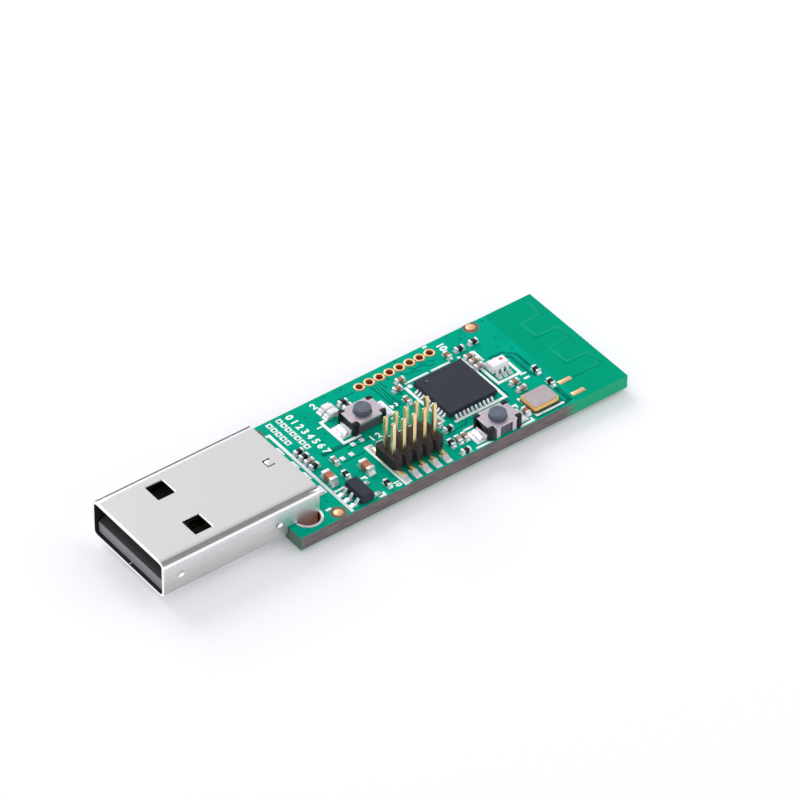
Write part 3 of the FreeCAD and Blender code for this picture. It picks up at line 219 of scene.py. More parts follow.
# The camera stands off the plug's near corner and looks down on the board, turned a hair clockwise.
camera_azimuth = math.radians(-37.628)
camera_elevation = math.radians(40.931)
camera_roll = math.radians(0.639)
camera_distance = 0.55863
camera_side_shift = -0.004136
camera_height_shift = -0.003716
camera_target = Vector((0.0, 0.0, 0.0028))
towards_camera = Vector((
    math.sin(camera_azimuth) * math.cos(camera_elevation),
    -math.cos(camera_azimuth) * math.cos(camera_elevation),
    math.sin(camera_elevation),
))
level_right = Vector((math.cos(camera_azimuth), math.sin(camera_azimuth), 0.0))
level_up = towards_camera.cross(level_right)
camera_right = math.cos(camera_roll) * level_right + math.sin(camera_roll) * level_up
camera_up = math.cos(camera_roll) * level_up - math.sin(camera_roll) * level_right
bpy.ops.object.camera_add()
camera = bpy.context.object
camera.name = "photo_camera"
camera.rotation_euler = Matrix((camera_right, camera_up, towards_camera)).transposed().to_euler()
camera.location = (
    camera_target
    + towards_camera * camera_distance
    - camera_right * camera_side_shift
    - camera_up * camera_height_shift
)
camera.data.sensor_width = 36.0
camera.data.lens = 252.74
camera.data.clip_start = 0.01
camera.data.clip_end = 10.0
bpy.context.scene.camera = camera
bpy.context.scene.view_settings.view_transform = "Standard"


# Circuit board
# A 1.6 mm sheet of glass cloth and resin, with copper on both faces under a green solder mask that
# is printed on and baked. Its edges are routed, so the cloth and the copper planes show there.
def uneven_surface():
    """A node group for what no surface lacks: mottled colour, uneven gloss and a height for bumps."""
    group = bpy.data.node_groups.new("uneven_surface", "ShaderNodeTree")
    for label, kind in (
        ("Colour", "NodeSocketColor"),
        ("Other Colour", "NodeSocketColor"),
        ("Grain Size", "NodeSocketFloat"),
        ("Stretch", "NodeSocketVector"),
        ("Contrast", "NodeSocketFloat"),
        ("Roughness", "NodeSocketFloat"),
        ("Roughness Spread", "NodeSocketFloat"),
    ):
        group.interface.new_socket(name=label, in_out="INPUT", socket_type=kind)
    group.interface.new_socket(name="Colour", in_out="OUTPUT", socket_type="NodeSocketColor")
    group.interface.new_socket(name="Roughness", in_out="OUTPUT", socket_type="NodeSocketFloat")
    group.interface.new_socket(name="Height", in_out="OUTPUT", socket_type="NodeSocketFloat")
    nodes = group.nodes
    links = group.links
    given = nodes.new("NodeGroupInput")
    result = nodes.new("NodeGroupOutput")
    coordinates = nodes.new("ShaderNodeTexCoord")
    stretched = nodes.new("ShaderNodeVectorMath")
    stretched.operation = "MULTIPLY"
    links.new(coordinates.outputs["Object"], stretched.inputs[0])
    links.new(given.outputs["Stretch"], stretched.inputs[1])
    per_metre = nodes.new("ShaderNodeMath")
    per_metre.operation = "DIVIDE"
    per_metre.inputs[0].default_value = 1.0
    links.new(given.outputs["Grain Size"], per_metre.inputs[1])
    noise = nodes.new("ShaderNodeTexNoise")
    noise.inputs["Detail"].default_value = 3.0
    noise.inputs["Roughness"].default_value = 0.6
    links.new(stretched.outputs["Vector"], noise.inputs["Vector"])
    links.new(per_metre.outputs["Value"], noise.inputs["Scale"])
    share = nodes.new("ShaderNodeMapRange")
    share.inputs["From Min"].default_value = 0.32
    share.inputs["From Max"].default_value = 0.68
    links.new(noise.outputs["Fac"], share.inputs["Value"])
    links.new(given.outputs["Contrast"], share.inputs["To Max"])
    colour = nodes.new("ShaderNodeMix")
    colour.data_type = "RGBA"
    links.new(share.outputs["Result"], colour.inputs["Factor"])
    links.new(given.outputs["Colour"], colour.inputs["A"])
    links.new(given.outputs["Other Colour"], colour.inputs["B"])
    gloss = nodes.new("ShaderNodeMath")
    gloss.operation = "MULTIPLY_ADD"
    links.new(noise.outputs["Fac"], gloss.inputs[0])
    links.new(given.outputs["Roughness Spread"], gloss.inputs[1])
    links.new(given.outputs["Roughness"], gloss.inputs[2])
    links.new(colour.outputs["Result"], result.inputs["Colour"])
    links.new(gloss.outputs["Value"], result.inputs["Roughness"])
    links.new(noise.outputs["Fac"], result.inputs["Height"])
    return group


uneven = uneven_surface()


def new_finish(name, colour, other, grain, roughness, bump, contrast=1.0, spread=0.1, stretch=(1, 1, 1), **fixed):
    """A material with an uneven surface. What is the same all over goes straight on the shader."""
    material = bpy.data.materials.new(name)
    material.use_nodes = True
    nodes = material.node_tree.nodes
    links = material.node_tree.links
    shader = nodes["Principled BSDF"]
    surface = nodes.new("ShaderNodeGroup")
    surface.name = "surface"
    surface.node_tree = uneven
    surface.inputs["Colour"].default_value = paint(*colour)
    surface.inputs["Other Colour"].default_value = paint(*other)
    surface.inputs["Grain Size"].default_value = grain * MM
    surface.inputs["Stretch"].default_value = stretch
    surface.inputs["Contrast"].default_value = contrast
    surface.inputs["Roughness"].default_value = roughness
    surface.inputs["Roughness Spread"].default_value = spread
    relief = nodes.new("ShaderNodeBump")
    relief.inputs["Strength"].default_value = 0.5
    relief.inputs["Distance"].default_value = bump * MM
    links.new(surface.outputs["Height"], relief.inputs["Height"])
    links.new(surface.outputs["Colour"], shader.inputs["Base Color"])
    links.new(surface.outputs["Roughness"], shader.inputs["Roughness"])
    links.new(relief.outputs["Normal"], shader.inputs["Normal"])
    for socket, value in fixed.items():
        shader.inputs[socket.replace("_", " ").title().replace("Ior", "IOR")].default_value = value
    return material


def select_only(*things):
    bpy.ops.object.select_all(action="DESELECT")
    for thing in things:
        thing.select_set(True)
    bpy.context.view_layer.objects.active = things[0]


def pick(piece, part, wanted):
    """Goes into edit mode with the vertices, edges or faces selected whose middle passes a test."""
    select_only(piece)
    bpy.ops.object.mode_set(mode="EDIT")
    bpy.ops.mesh.select_mode(type=part)
    bpy.ops.mesh.select_all(action="DESELECT")
    bpy.ops.object.mode_set(mode="OBJECT")
    mesh = piece.data
    points = [vertex.co for vertex in mesh.vertices]
    if part == "VERT":
        for vertex in mesh.vertices:
            vertex.select = wanted(vertex.co)
    elif part == "EDGE":
        for edge in mesh.edges:
            edge.select = wanted((points[edge.vertices[0]] + points[edge.vertices[1]]) / 2)
    else:
        for face in mesh.polygons:
            face.select = wanted(face.center)
    bpy.ops.object.mode_set(mode="EDIT")


def soften(piece, edge, sharp=35.0, segments=2):
    """Rounds the sharp edges of a piece by so many millimetres and shades what is smooth as smooth."""
    select_only(piece)
    rounding = piece.modifiers.new("rounded_edges", "BEVEL")
    rounding.width = edge * MM
    rounding.segments = segments
    rounding.limit_method = "ANGLE"
    rounding.angle_limit = math.radians(sharp)
    bpy.ops.object.modifier_apply(modifier=rounding.name)
    bpy.ops.object.shade_smooth_by_angle(angle=math.radians(sharp))
    flat_faces = piece.modifiers.new("flat_faces_stay_flat", "WEIGHTED_NORMAL")
    flat_faces.keep_sharp = True
    flat_faces.weight = 100
    bpy.ops.object.modifier_apply(modifier=flat_faces.name)


def merged_copy(node, name):
    """A copy of a solid from the frame as one clean mesh, with flat faces as single faces."""
    select_only(frame["nodes"][node])
    bpy.ops.object.duplicate()
    piece = bpy.context.object
    piece.name = name
    del piece["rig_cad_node"]
    piece.data.materials.clear()
    bpy.ops.mesh.customdata_custom_splitnormals_clear()
    bpy.ops.object.mode_set(mode="EDIT")
    bpy.ops.mesh.select_all(action="SELECT")
    bpy.ops.mesh.remove_doubles(threshold=0.001 * MM)
    bpy.ops.mesh.dissolve_limited(angle_limit=math.radians(1.0))
    bpy.ops.object.mode_set(mode="OBJECT")
    return piece


def settle(piece, slot, *nodes, body="stick"):
    """Hides the solids a finished piece stands for and hangs it on its body. The slot is not used."""
    if nodes:
        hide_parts(*nodes)
    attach(piece, body)


MOUTH_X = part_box("plug_shell")[0].x / MM
BOARD_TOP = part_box("circuit_board")[1].z / MM
PAD_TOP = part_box("copper_pads")[1].z / MM
board_low, board_high = (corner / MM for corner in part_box("circuit_board"))

green_mask = new_finish(
    "green_solder_mask", (0, 175, 143), (0, 161, 132), 2.6, 0.24, 0.003,
    contrast=0.7, spread=0.14, specular_ior_level=0.01,
)
mask_nodes = green_mask.node_tree.nodes
mask_links = green_mask.node_tree.links
mask_place = mask_nodes.new("ShaderNodeTexCoord")
mask_axes = mask_nodes.new("ShaderNodeSeparateXYZ")
bare_corner = mask_nodes.new("ShaderNodeMapRange")
bare_corner.inputs["From Min"].default_value = 21.8 * MM
bare_corner.inputs["From Max"].default_value = 22.1 * MM
bare_corner.inputs["To Max"].default_value = 0.55
corner_tone = mask_nodes.new("ShaderNodeMix")
corner_tone.data_type = "RGBA"
corner_tone.inputs["B"].default_value = paint(0, 153, 110)
mask_links.new(mask_place.outputs["Object"], mask_axes.inputs["Vector"])
mask_links.new(mask_axes.outputs["X"], bare_corner.inputs["Value"])
mask_links.new(bare_corner.outputs["Result"], corner_tone.inputs["Factor"])
mask_links.new(mask_nodes["surface"].outputs["Colour"], corner_tone.inputs["A"])
mask_links.new(corner_tone.outputs["Result"], mask_nodes["Principled BSDF"].inputs["Base Color"])

cut_edge = new_finish(
    "routed_edge", (130, 116, 114), (100, 96, 96), 0.6, 0.7, 0.02, stretch=(0.35, 0.35, 2.0), specular_ior_level=0.3,
)
edge_nodes = cut_edge.node_tree.nodes
edge_links = cut_edge.node_tree.links
edge_place = edge_nodes.new("ShaderNodeTexCoord")
edge_axes = edge_nodes.new("ShaderNodeSeparateXYZ")
edge_links.new(edge_place.outputs["Object"], edge_axes.inputs["Vector"])
edge_tone = edge_nodes["surface"].outputs["Colour"]
for copper_ends_at, only_cloth_at, cloth_colour in ((20.0, 21.6, (16, 172, 126)), (-12.5, -12.95, (98, 122, 110))):
    no_copper = edge_nodes.new("ShaderNodeMapRange")
    no_copper.inputs["From Min"].default_value = copper_ends_at * MM
    no_copper.inputs["From Max"].default_value = only_cloth_at * MM
    cloth_tone = edge_nodes.new("ShaderNodeMix")
    cloth_tone.data_type = "RGBA"
    cloth_tone.inputs["B"].default_value = paint(*cloth_colour)
    edge_links.new(edge_axes.outputs["X"], no_copper.inputs["Value"])
    edge_links.new(no_copper.outputs["Result"], cloth_tone.inputs["Factor"])
    edge_links.new(edge_tone, cloth_tone.inputs["A"])
    edge_tone = cloth_tone.outputs["Result"]
edge_links.new(edge_tone, edge_nodes["Principled BSDF"].inputs["Base Color"])

laminate = merged_copy("circuit_board", "masked_laminate")
laminate.data.materials.append(green_mask)
laminate.data.materials.append(cut_edge)
soften(laminate, 0.02)
for face in laminate.data.polygons:
    face.material_index = 0 if abs(face.normal.z) > 0.3 else 1
settle(laminate, "green_board", "circuit_board")


# Traces under the mask
# Copper tracks stand a few hundredths proud under the mask. The etched gaps beside them are darker,
# because there the mask lies on bare laminate. The antenna is a track that folds to and fro.
def flat_track(name, runs, width, thickness, level, finish, slot):
    """Flat tracks with mitred corners. Each run is a list of points in mm from the plug's mouth."""
    path = bpy.data.curves.new(name, "CURVE")
    path.dimensions = "3D"
    path.extrude = thickness / 2 * MM
    for run in runs:
        spline = path.splines.new("POLY")
        spline.points.add(len(run) - 1)
        for point, (x, y) in zip(spline.points, run):
            point.co = ((MOUTH_X + x) * MM, y * MM, (level + thickness / 2) * MM, 1.0)
    track = bpy.data.objects.new(name, path)
    bpy.context.scene.collection.objects.link(track)
    select_only(track)
    bpy.ops.object.convert(target="MESH")
    walls = track.modifiers.new("track_width", "SOLIDIFY")
    walls.thickness = width * MM
    walls.offset = 0.0
    walls.use_even_offset = True
    bpy.ops.object.modifier_apply(modifier=walls.name)
    bpy.ops.object.mode_set(mode="EDIT")
    bpy.ops.mesh.select_all(action="SELECT")
    bpy.ops.mesh.remove_doubles(threshold=0.001 * MM)
    bpy.ops.mesh.normals_make_consistent(inside=False)
    bpy.ops.object.mode_set(mode="OBJECT")
    track.data.materials.append(finish)
    settle(track, slot)
    return track


gap_mask = new_finish(
    "mask_in_the_etched_gaps", (0, 134, 116), (0, 120, 106), 1.2, 0.24, 0.003, specular_ior_level=0.01,
)
copper_under_mask = new_finish(
    "mask_over_copper", (0, 179, 147), (0, 171, 139), 1.6, 0.22, 0.003, specular_ior_level=0.02,
)
narrow_gaps = [
    [(34.1, 6.0), (34.1, 1.8), (33.9, 1.2)],
    [(34.45, 6.0), (34.45, 1.6)],
    [(34.9, 6.0), (34.9, 5.2), (34.8, 5.0), (34.8, 2.0)],
    [(35.25, 6.1), (35.25, 4.9)],
    [(37.7, 6.0), (38.3, 5.4), (39.2, 5.4), (39.7, 5.0)],
    [(38.9, 6.0), (39.3, 5.65), (40.2, 5.65), (40.9, 5.1), (41.4, 5.1)],
    [(40.2, 6.1), (40.6, 5.75), (41.3, 5.75), (41.7, 5.4)],
    [(44.45, -3.3), (44.45, 2.1), (44.5, 2.6)],
    [(48.3, -4.2), (48.3, -7.6)],
    [(26.5, -0.2), (29.2, -0.2), (29.6, 0.1)],
    [(24.9, 0.35), (26.9, 0.35)],
    [(25.1, -1.5), (27.6, -1.5)],
    [(30.2, 6.4), (32.2, 6.4)],
    [(36.0, -4.2), (38.2, -4.2), (38.9, -3.6)],
]
wide_gaps = [
    [(23.9, 0.6), (28.9, 0.6)],
    [(49.0, -5.2), (49.0, -7.6)],
    [(44.6, -7.45), (48.7, -7.45)],
    [(43.4, -3.75), (44.1, -3.75)],
]
radio_gaps = [
    [(46.3, 2.42), (47.9, 2.42), (49.02, 1.35), (49.02, -0.9)],
    [(47.9, 1.68), (48.28, 1.3), (48.28, -1.9), (48.75, -2.6)],
]
flat_track("narrow_etched_gaps", narrow_gaps, 0.16, 0.006, BOARD_TOP, gap_mask, "green_board")
flat_track("wide_etched_gaps", wide_gaps, 0.55, 0.005, BOARD_TOP, gap_mask, "green_board")
flat_track("gaps_by_the_radio_track", radio_gaps, 0.32, 0.004, BOARD_TOP, gap_mask, "green_board")
antenna_run = [
    (51.2, -4.85), (54.95, -4.85), (54.95, -2.75), (52.3, -2.75), (52.3, 0.15), (54.95, 0.15),
    (54.95, 2.2), (52.3, 2.2), (52.3, 4.75), (54.95, 4.75), (54.95, 7.2),
]
antenna_mask = new_finish(
    "mask_over_the_antenna", (0, 168, 129), (0, 162, 123), 1.6, 0.22, 0.003, specular_ior_level=0.02,
)
flat_track("folded_antenna", [antenna_run], 0.42, 0.006, BOARD_TOP, antenna_mask, "green_board")
signal_tracks = [
    [(34.28, 6.0), (34.28, 1.7)],
    [(35.05, 6.0), (35.05, 2.0)],
    [(47.0, 2.05), (47.95, 2.05), (48.65, 1.35), (48.65, -1.0)],
    [(29.9, -0.5), (29.9, 0.5)],
    [(24.6, -3.9), (25.9, -3.2)],
    [(45.9, -3.2), (45.9, -4.0)],
]
flat_track("signal_tracks", signal_tracks, 0.2, 0.02, BOARD_TOP, copper_under_mask, "green_board")

# Vias are plated holes that join the two faces. The mask dips into each, so it reads as a dark dot.
via_places = [
    (22.6, -5.4), (23.4, 7.55), (26.1, 3.0), (25.2, 2.2), (29.4, 7.6), (31.4, 7.5), (36.2, 6.0), (38.4, 7.75),
    (44.9, 7.6), (45.9, 6.6), (46.6, 7.5), (49.4, 7.5), (48.9, 4.6), (48.2, 3.3), (49.3, 2.4), (37.9, -4.1),
    (39.3, -3.9), (43.9, -3.9), (27.2, -4.9), (27.6, -6.0), (36.4, 0.6), (35.9, 3.4), (19.8, 4.9), (16.3, -7.5),
    (18.9, -7.6), (20.3, -5.1), (49.6, -7.6), (45.5, -7.55), (33.6, -7.7), (26.0, 6.2),
]
bpy.ops.object.select_all(action="DESELECT")
bpy.ops.mesh.primitive_torus_add(
    major_segments=16, minor_segments=6, major_radius=0.14 * MM, minor_radius=0.035 * MM, location=(0, 0, 0),
)
via_rim = bpy.context.object
bpy.ops.mesh.primitive_cylinder_add(vertices=16, radius=0.12 * MM, depth=0.012 * MM)
via_dip = bpy.context.object
via_rim.data.materials.append(copper_under_mask)
via_dip.data.materials.append(gap_mask)
select_only(via_rim, via_dip)
bpy.ops.object.join()
bpy.ops.object.shade_smooth_by_angle(angle=math.radians(35.0))


def copies_at(master, name, places):
    """One piece made of copies of a master, which is used up. A place is a point in mm and a turn."""
    copies = []
    for x, y, z, turn in places:
        copy = master.copy()
        copy.data = master.data.copy()
        bpy.context.scene.collection.objects.link(copy)
        copy.location = (x * MM, y * MM, z * MM)
        copy.rotation_euler = (0.0, 0.0, math.radians(turn))
        copies.append(copy)
    bpy.data.objects.remove(master)
    select_only(*copies)
    bpy.ops.object.join()
    bpy.ops.object.transform_apply(location=True, rotation=True, scale=True)
    piece = bpy.context.object
    piece.name = name
    return piece


vias = copies_at(via_rim, "vias", [(MOUTH_X + x, y, BOARD_TOP + 0.004, 0) for x, y in via_places])
settle(vias, "green_board")


# Legend
# White ink is screen-printed over the mask: the outline of each part, plain numbers
# and a tick-box table. The names and the version that the photographed board carries are left off.
# The ink glows a little: painted light that keeps it white where the plug and the parts shade it.
legend_ink_painted_light = new_finish("white_legend_ink", (255, 255, 255), (246, 255, 254), 0.25, 0.55, 0.004, emission_strength=0.12)
INK = 0.02
thick_outlines = [
    [(21.05, 6.1), (21.45, 6.1), (21.45, -7.85)],
    [(27.4, 4.62), (26.78, 4.62), (26.78, 0.78), (28.9, 0.78)],
    [(32.95, 3.62), (33.5, 3.62), (33.5, 0.85), (32.8, 0.85)],
    [(28.7, -1.1), (28.12, -1.1), (28.12, -7.7), (28.45, -7.7)],
    [(44.1, 4.0), (44.1, -3.25), (37.6, -3.25)],
    [(36.78, 3.9), (36.78, -2.6)],
    [(44.75, 2.3), (44.75, -1.2), (47.55, -1.2), (47.55, 1.95)],
]
fine_outlines = [
    [(37.1, 4.35), (40.1, 4.35)],
    [(40.45, 4.35), (42.8, 4.35)],
    [(43.8, 4.35), (44.15, 4.35)],
    [(21.45, -4.5), (23.1, -4.5)],
    [(24.95, -4.5), (25.45, -4.5), (25.45, -4.85)],
    [(24.8, -7.75), (25.5, -7.75), (25.5, -7.3)],
    [(37.5, -4.85), (39.0, -4.85)],
    [(43.6, -4.85), (44.05, -4.85), (44.05, -5.3)],
    [(36.9, -7.72), (38.9, -7.72)],
    [(42.4, -7.72), (44.1, -7.72), (44.1, -7.2)],
    [(44.85, -4.2), (44.85, -7.38), (48.3, -7.38)],
    [(45.72, 4.3), (45.72, 2.5)],
    [(41.9, 7.72), (42.45, 7.72)],
    [(20.0, -6.2), (19.35, -6.2)],
    [(47.25, -2.2), (47.95, -2.2)],
]
flat_track("thick_outlines", thick_outlines, 0.34, INK, BOARD_TOP, legend_ink_painted_light, "green_board")
flat_track("fine_outlines", fine_outlines, 0.27, INK, BOARD_TOP, legend_ink_painted_light, "green_board")

tick_boxes = []
box_half = 0.24
for row_x, box_count, first_y in ((22.35, 5, 7.25), (23.55, 7, 7.25)):
    for box_number in range(box_count):
        middle_y = first_y - 0.78 * box_number
        tick_boxes.append([
            (row_x - box_half, middle_y - box_half), (row_x + box_half, middle_y - box_half),
            (row_x + box_half, middle_y + box_half), (row_x - box_half, middle_y + box_half),
            (row_x - box_half, middle_y - box_half - 0.06),
        ])
flat_track("tick_boxes", tick_boxes, 0.17, INK, BOARD_TOP, legend_ink_painted_light, "green_board")

bpy.ops.object.select_all(action="DESELECT")
bpy.ops.mesh.primitive_cylinder_add(vertices=24, radius=0.27 * MM, depth=INK * MM)
first_lead_dot = bpy.context.object
first_lead_dot.data.materials.append(legend_ink_painted_light)
first_lead_dot = copies_at(first_lead_dot, "first_lead_dot", [(MOUTH_X + 37.3, 3.75, BOARD_TOP + INK / 2, 0)])
settle(first_lead_dot, "green_board")

plain_numbers = [
    ("0 1 2 3 4 5 6 7", 24.35, 7.45, 0.92, -90),
    ("2", 27.35, 6.65, 0.95, 0),
    ("1", 25.95, 4.35, 0.8, -90),
    ("2", 33.85, 2.65, 0.95, -90),
    ("1 2", 29.2, -0.65, 0.85, 0),
    ("10", 43.2, 7.3, 0.95, -90),
    ("1", 47.35, -1.25, 0.8, -90),
    ("10", 27.15, -6.75, 0.7, -90),
    ("1", 16.6, 7.35, 0.6, -90),
]
number_pieces = []
for digits, x, y, size, turn in plain_numbers:
    bpy.ops.object.text_add()
    number = bpy.context.object
    number.data.body = digits
    number.data.size = size * 1.25 * MM
    number.data.offset = 0.035 * MM
    number.data.extrude = INK / 2 * MM
    number.data.resolution_u = 4
    bpy.ops.object.convert(target="MESH")
    number.location = ((MOUTH_X + x) * MM, y * MM, (BOARD_TOP + INK / 2) * MM)
    number.rotation_euler = (0.0, 0.0, math.radians(turn))
    number.data.materials.clear()
    number.data.materials.append(legend_ink_painted_light)
    number_pieces.append(number)
select_only(*number_pieces)
bpy.ops.object.join()
bpy.ops.object.transform_apply(location=True, rotation=True, scale=True)
bpy.context.object.name = "plain_numbers"
settle(bpy.context.object, "green_board")


# Pads and plated holes
# Copper is left free of mask where parts are soldered, and tinned. The antenna's two spare pads and
# the round marks for the placing machine stay bare copper. Barrels of copper line the drilled holes.
tin = new_finish(
    "tin", (252, 252, 255), (232, 232, 242), 0.22, 0.25, 0.04, spread=0.25, metallic=0.75,
)
pad_tin = new_finish(
    "levelled_tin", (255, 255, 255), (240, 236, 248), 0.3, 0.3, 0.01, spread=0.2, metallic=0.15,
)
bare_copper = new_finish(
    "bare_copper", (255, 212, 168), (246, 192, 146), 0.3, 0.3, 0.012, spread=0.2, metallic=1.0,
)
hole_copper = new_finish(
    "copper_in_the_holes", (244, 178, 122), (190, 108, 60), 0.35, 0.3, 0.02, spread=0.25, metallic=0.9,
)


def loose_parts(node, name):
    """The separate solids of a CAD node, as objects of their own."""
    merged_copy(node, name)
    bpy.ops.object.mode_set(mode="EDIT")
    bpy.ops.mesh.select_all(action="SELECT")
    bpy.ops.mesh.separate(type="LOOSE")
    bpy.ops.object.mode_set(mode="OBJECT")
    return list(bpy.context.selected_objects)


def corners(thing):
    """Lowest and highest corner of a piece, in mm."""
    points = [vertex.co / MM for vertex in thing.data.vertices]
    low = Vector(tuple(min(point[axis] for point in points) for axis in range(3)))
    high = Vector(tuple(max(point[axis] for point in points) for axis in range(3)))
    return low, high


tinned = []
bare = []
mark_corners = []
pad_parts = loose_parts("copper_pads", "pad")
for part in pad_parts:
    low, high = corners(part)
    is_antenna_pad = low.x > 21.4 and high.y < -4.0
    is_mark = len(part.data.polygons) > 12
    (bare if is_antenna_pad or is_mark else tinned).append(part)
    if is_mark:
        mark_corners.append((low, high))
select_only(*tinned)
bpy.ops.object.join()
tinned_pads = bpy.context.object
tinned_pads.name = "tinned_pads"
tinned_pads.data.materials.clear()
tinned_pads.data.materials.append(pad_tin)
soften(tinned_pads, 0.03)
settle(tinned_pads, "tinned_pads", "copper_pads")
select_only(*bare)
bpy.ops.object.join()
bare_pads = bpy.context.object
bare_pads.name = "bare_copper_pads"
bare_pads.data.materials.clear()
bare_pads.data.materials.append(bare_copper)
soften(bare_pads, 0.03)
settle(bare_pads, "plated_copper", "copper_pads")

# The mask keeps clear of each round mark, which leaves a ring of dark bare laminate.
bare_laminate = new_finish("bare_laminate", (138, 96, 78), (78, 92, 78), 0.7, 0.5, 0.02)
for mark_number, (mark_low, mark_high) in enumerate(mark_corners):
    mark_middle = (mark_low + mark_high) / 2
    bpy.ops.object.select_all(action="DESELECT")
    bpy.ops.mesh.primitive_cylinder_add(vertices=32, radius=0.88 * MM, depth=0.012 * MM, end_fill_type="NGON")
    opening = bpy.context.object
    opening.data.materials.append(bare_laminate)
    opening_place = (mark_middle.x, mark_middle.y, BOARD_TOP + 0.006, 0)
    opening = copies_at(opening, f"opening_round_mark_{mark_number + 1}", [opening_place])
    bpy.ops.object.mode_set(mode="EDIT")
    bpy.ops.mesh.select_all(action="SELECT")
    board_side = math.copysign(1.0, mark_middle.y)
    bpy.ops.mesh.bisect(
        plane_co=(0.0, board_side * 7.97 * MM, 0.0), plane_no=(0.0, board_side, 0.0), clear_outer=True, use_fill=True,
    )
    bpy.ops.object.mode_set(mode="OBJECT")
    settle(opening, "green_board")

for rings_node, rings_name in (("signal_hole_rings", "signal_hole_barrels"), ("lug_hole_rings", "lug_hole_barrels")):
    rings = merged_copy(rings_node, rings_name)
    rings.data.materials.append(bare_copper if rings_node == "signal_hole_rings" else tin)
    rings.data.materials.append(hole_copper)
    for face in rings.data.polygons:
        face.material_index = 0 if abs(face.normal.z) > 0.5 else 1
    soften(rings, 0.03)
    settle(rings, "plated_copper", rings_node)

lug_joints = merged_copy("lug_solder", "lug_solder_cones")
lug_joints.data.materials.append(tin)
soften(lug_joints, 0.05)
settle(lug_joints, "solder", "lug_solder")


# Plug shell
# One strip of 0.3 mm steel is folded round into a tube, with its seam underneath, and plated with
# bright nickel. Two windows take the socket's springs, and dimples in the sides stiffen it.
bright_nickel = new_finish(
    "bright_nickel", (252, 252, 253), (251, 251, 252), 0.3, 0.16, 0.0001,
    spread=0.01, stretch=(0.12, 1, 1), metallic=1.0,
)
dull_nickel = new_finish(
    "dull_nickel_sides", (250, 250, 252), (240, 240, 243), 0.6, 0.34, 0.0006,
    spread=0.06, stretch=(0.3, 1, 1), metallic=0.93,
)
# Inside the tube the steel is painted dark grey: painted shade where little light gets in.
painted_shade_nickel = new_finish("nickel_inside_painted_shade", (52, 52, 54), (40, 40, 42), 0.4, 0.5, 0.002, metallic=0.6)
shell = merged_copy("plug_shell", "folded_plug_shell")
for shell_finish in (bright_nickel, dull_nickel, painted_shade_nickel):
    shell.data.materials.append(shell_finish)

# The press leaves the sheet falling away a little before each bend.
shell_low, shell_high = (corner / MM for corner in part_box("plug_shell"))
fall_start = shell_high.y - 1.0
fall_end = shell_high.y - 0.6
tab_root = (MOUTH_X + 17.4) * MM
tab_tip = (MOUTH_X + 16.68) * MM
bpy.ops.object.mode_set(mode="EDIT")
for side in (-1, 1):
    for cut in range(5):
        cut_y = side * (fall_start + (fall_end - fall_start) * cut / 4) * MM
        bpy.ops.mesh.select_all(action="SELECT")
        bpy.ops.mesh.bisect(plane_co=(0.0, cut_y, 0.0), plane_no=(0.0, 1.0, 0.0))
bpy.ops.mesh.select_all(action="SELECT")
bpy.ops.mesh.bisect(plane_co=(tab_root, 0.0, 0.0), plane_no=(1.0, 0.0, 0.0))
bpy.ops.object.mode_set(mode="OBJECT")
steepest = 0.18
middle_z = 3.05 * MM
for vertex in shell.data.vertices:
    past = abs(vertex.co.y) / MM - fall_start
    if past > 0:
        gentle = min(past, fall_end - fall_start)
        drop = steepest * gentle ** 2 / (2 * (fall_end - fall_start)) + steepest * (past - gentle)
        towards_middle = max(-1.0, min(1.0, (vertex.co.z - middle_z) / (1.5 * MM)))
        vertex.co.z -= drop * towards_middle * MM

# The small tab near the rear is pressed in a little at its free end.
for vertex in shell.data.vertices:
    if abs(vertex.co.x - tab_tip) < 0.02 * MM and abs(vertex.co.y) < 0.4 * MM and vertex.co.z > 4.9 * MM:
        vertex.co.z -= 0.08 * MM

# The blanking tool rolls the sheet's upper edges over at the mouth and round the two windows.
window_middle = Vector((MOUTH_X + 6.1, 3.1))
window_half = Vector((1.0, 1.125))


def on_a_window_edge(point):
    across_x = abs(point.x / MM - window_middle.x)
    across_y = abs(abs(point.y) / MM - window_middle.y)
    on_side_x = abs(across_x - window_half.x) < 0.02 and across_y < window_half.y - 0.05
    on_side_y = abs(across_y - window_half.y) < 0.02 and across_x < window_half.x - 0.05
    return point.z > shell_high.z * 0.99 * MM and (on_side_x or on_side_y)


pick(shell, "EDGE", on_a_window_edge)
bpy.ops.mesh.bevel(offset=0.08 * MM, segments=3)
bpy.ops.object.mode_set(mode="OBJECT")


def depth_in_sheet(point):
    """How far a point lies inside the tube's outer surface, in mm. It is negative on the legs."""
    past_side = abs(point.y) / MM - (shell_high.y - 0.6)
    past_top = abs(point.z - middle_z) / MM - (shell_high.z - 3.05 - 0.6)
    round_the_bend = math.hypot(max(past_side, 0.0), max(past_top, 0.0))
    return 0.6 - round_the_bend - min(max(past_side, past_top), 0.0)


pick(shell, "EDGE", lambda point: point.x < (MOUTH_X + 0.01) * MM and depth_in_sheet(point) < 0.12)
bpy.ops.mesh.bevel(offset=0.1 * MM, segments=3)
bpy.ops.object.mode_set(mode="OBJECT")
soften(shell, 0.05, sharp=40.0, segments=3)
# Faces inside the tube take the painted shade, the flat sides the rougher nickel, the rest the bright nickel.
for face in shell.data.polygons:
    is_side = abs(face.normal.y) > 0.98 and abs(face.center.y) > (shell_high.y - 0.25) * MM
    is_inside = depth_in_sheet(face.center) > 0.22 and abs(face.normal.x) < 0.9
    face.material_index = 2 if is_inside else 1 if is_side else 0
settle(shell, "nickel_steel", "plug_shell")

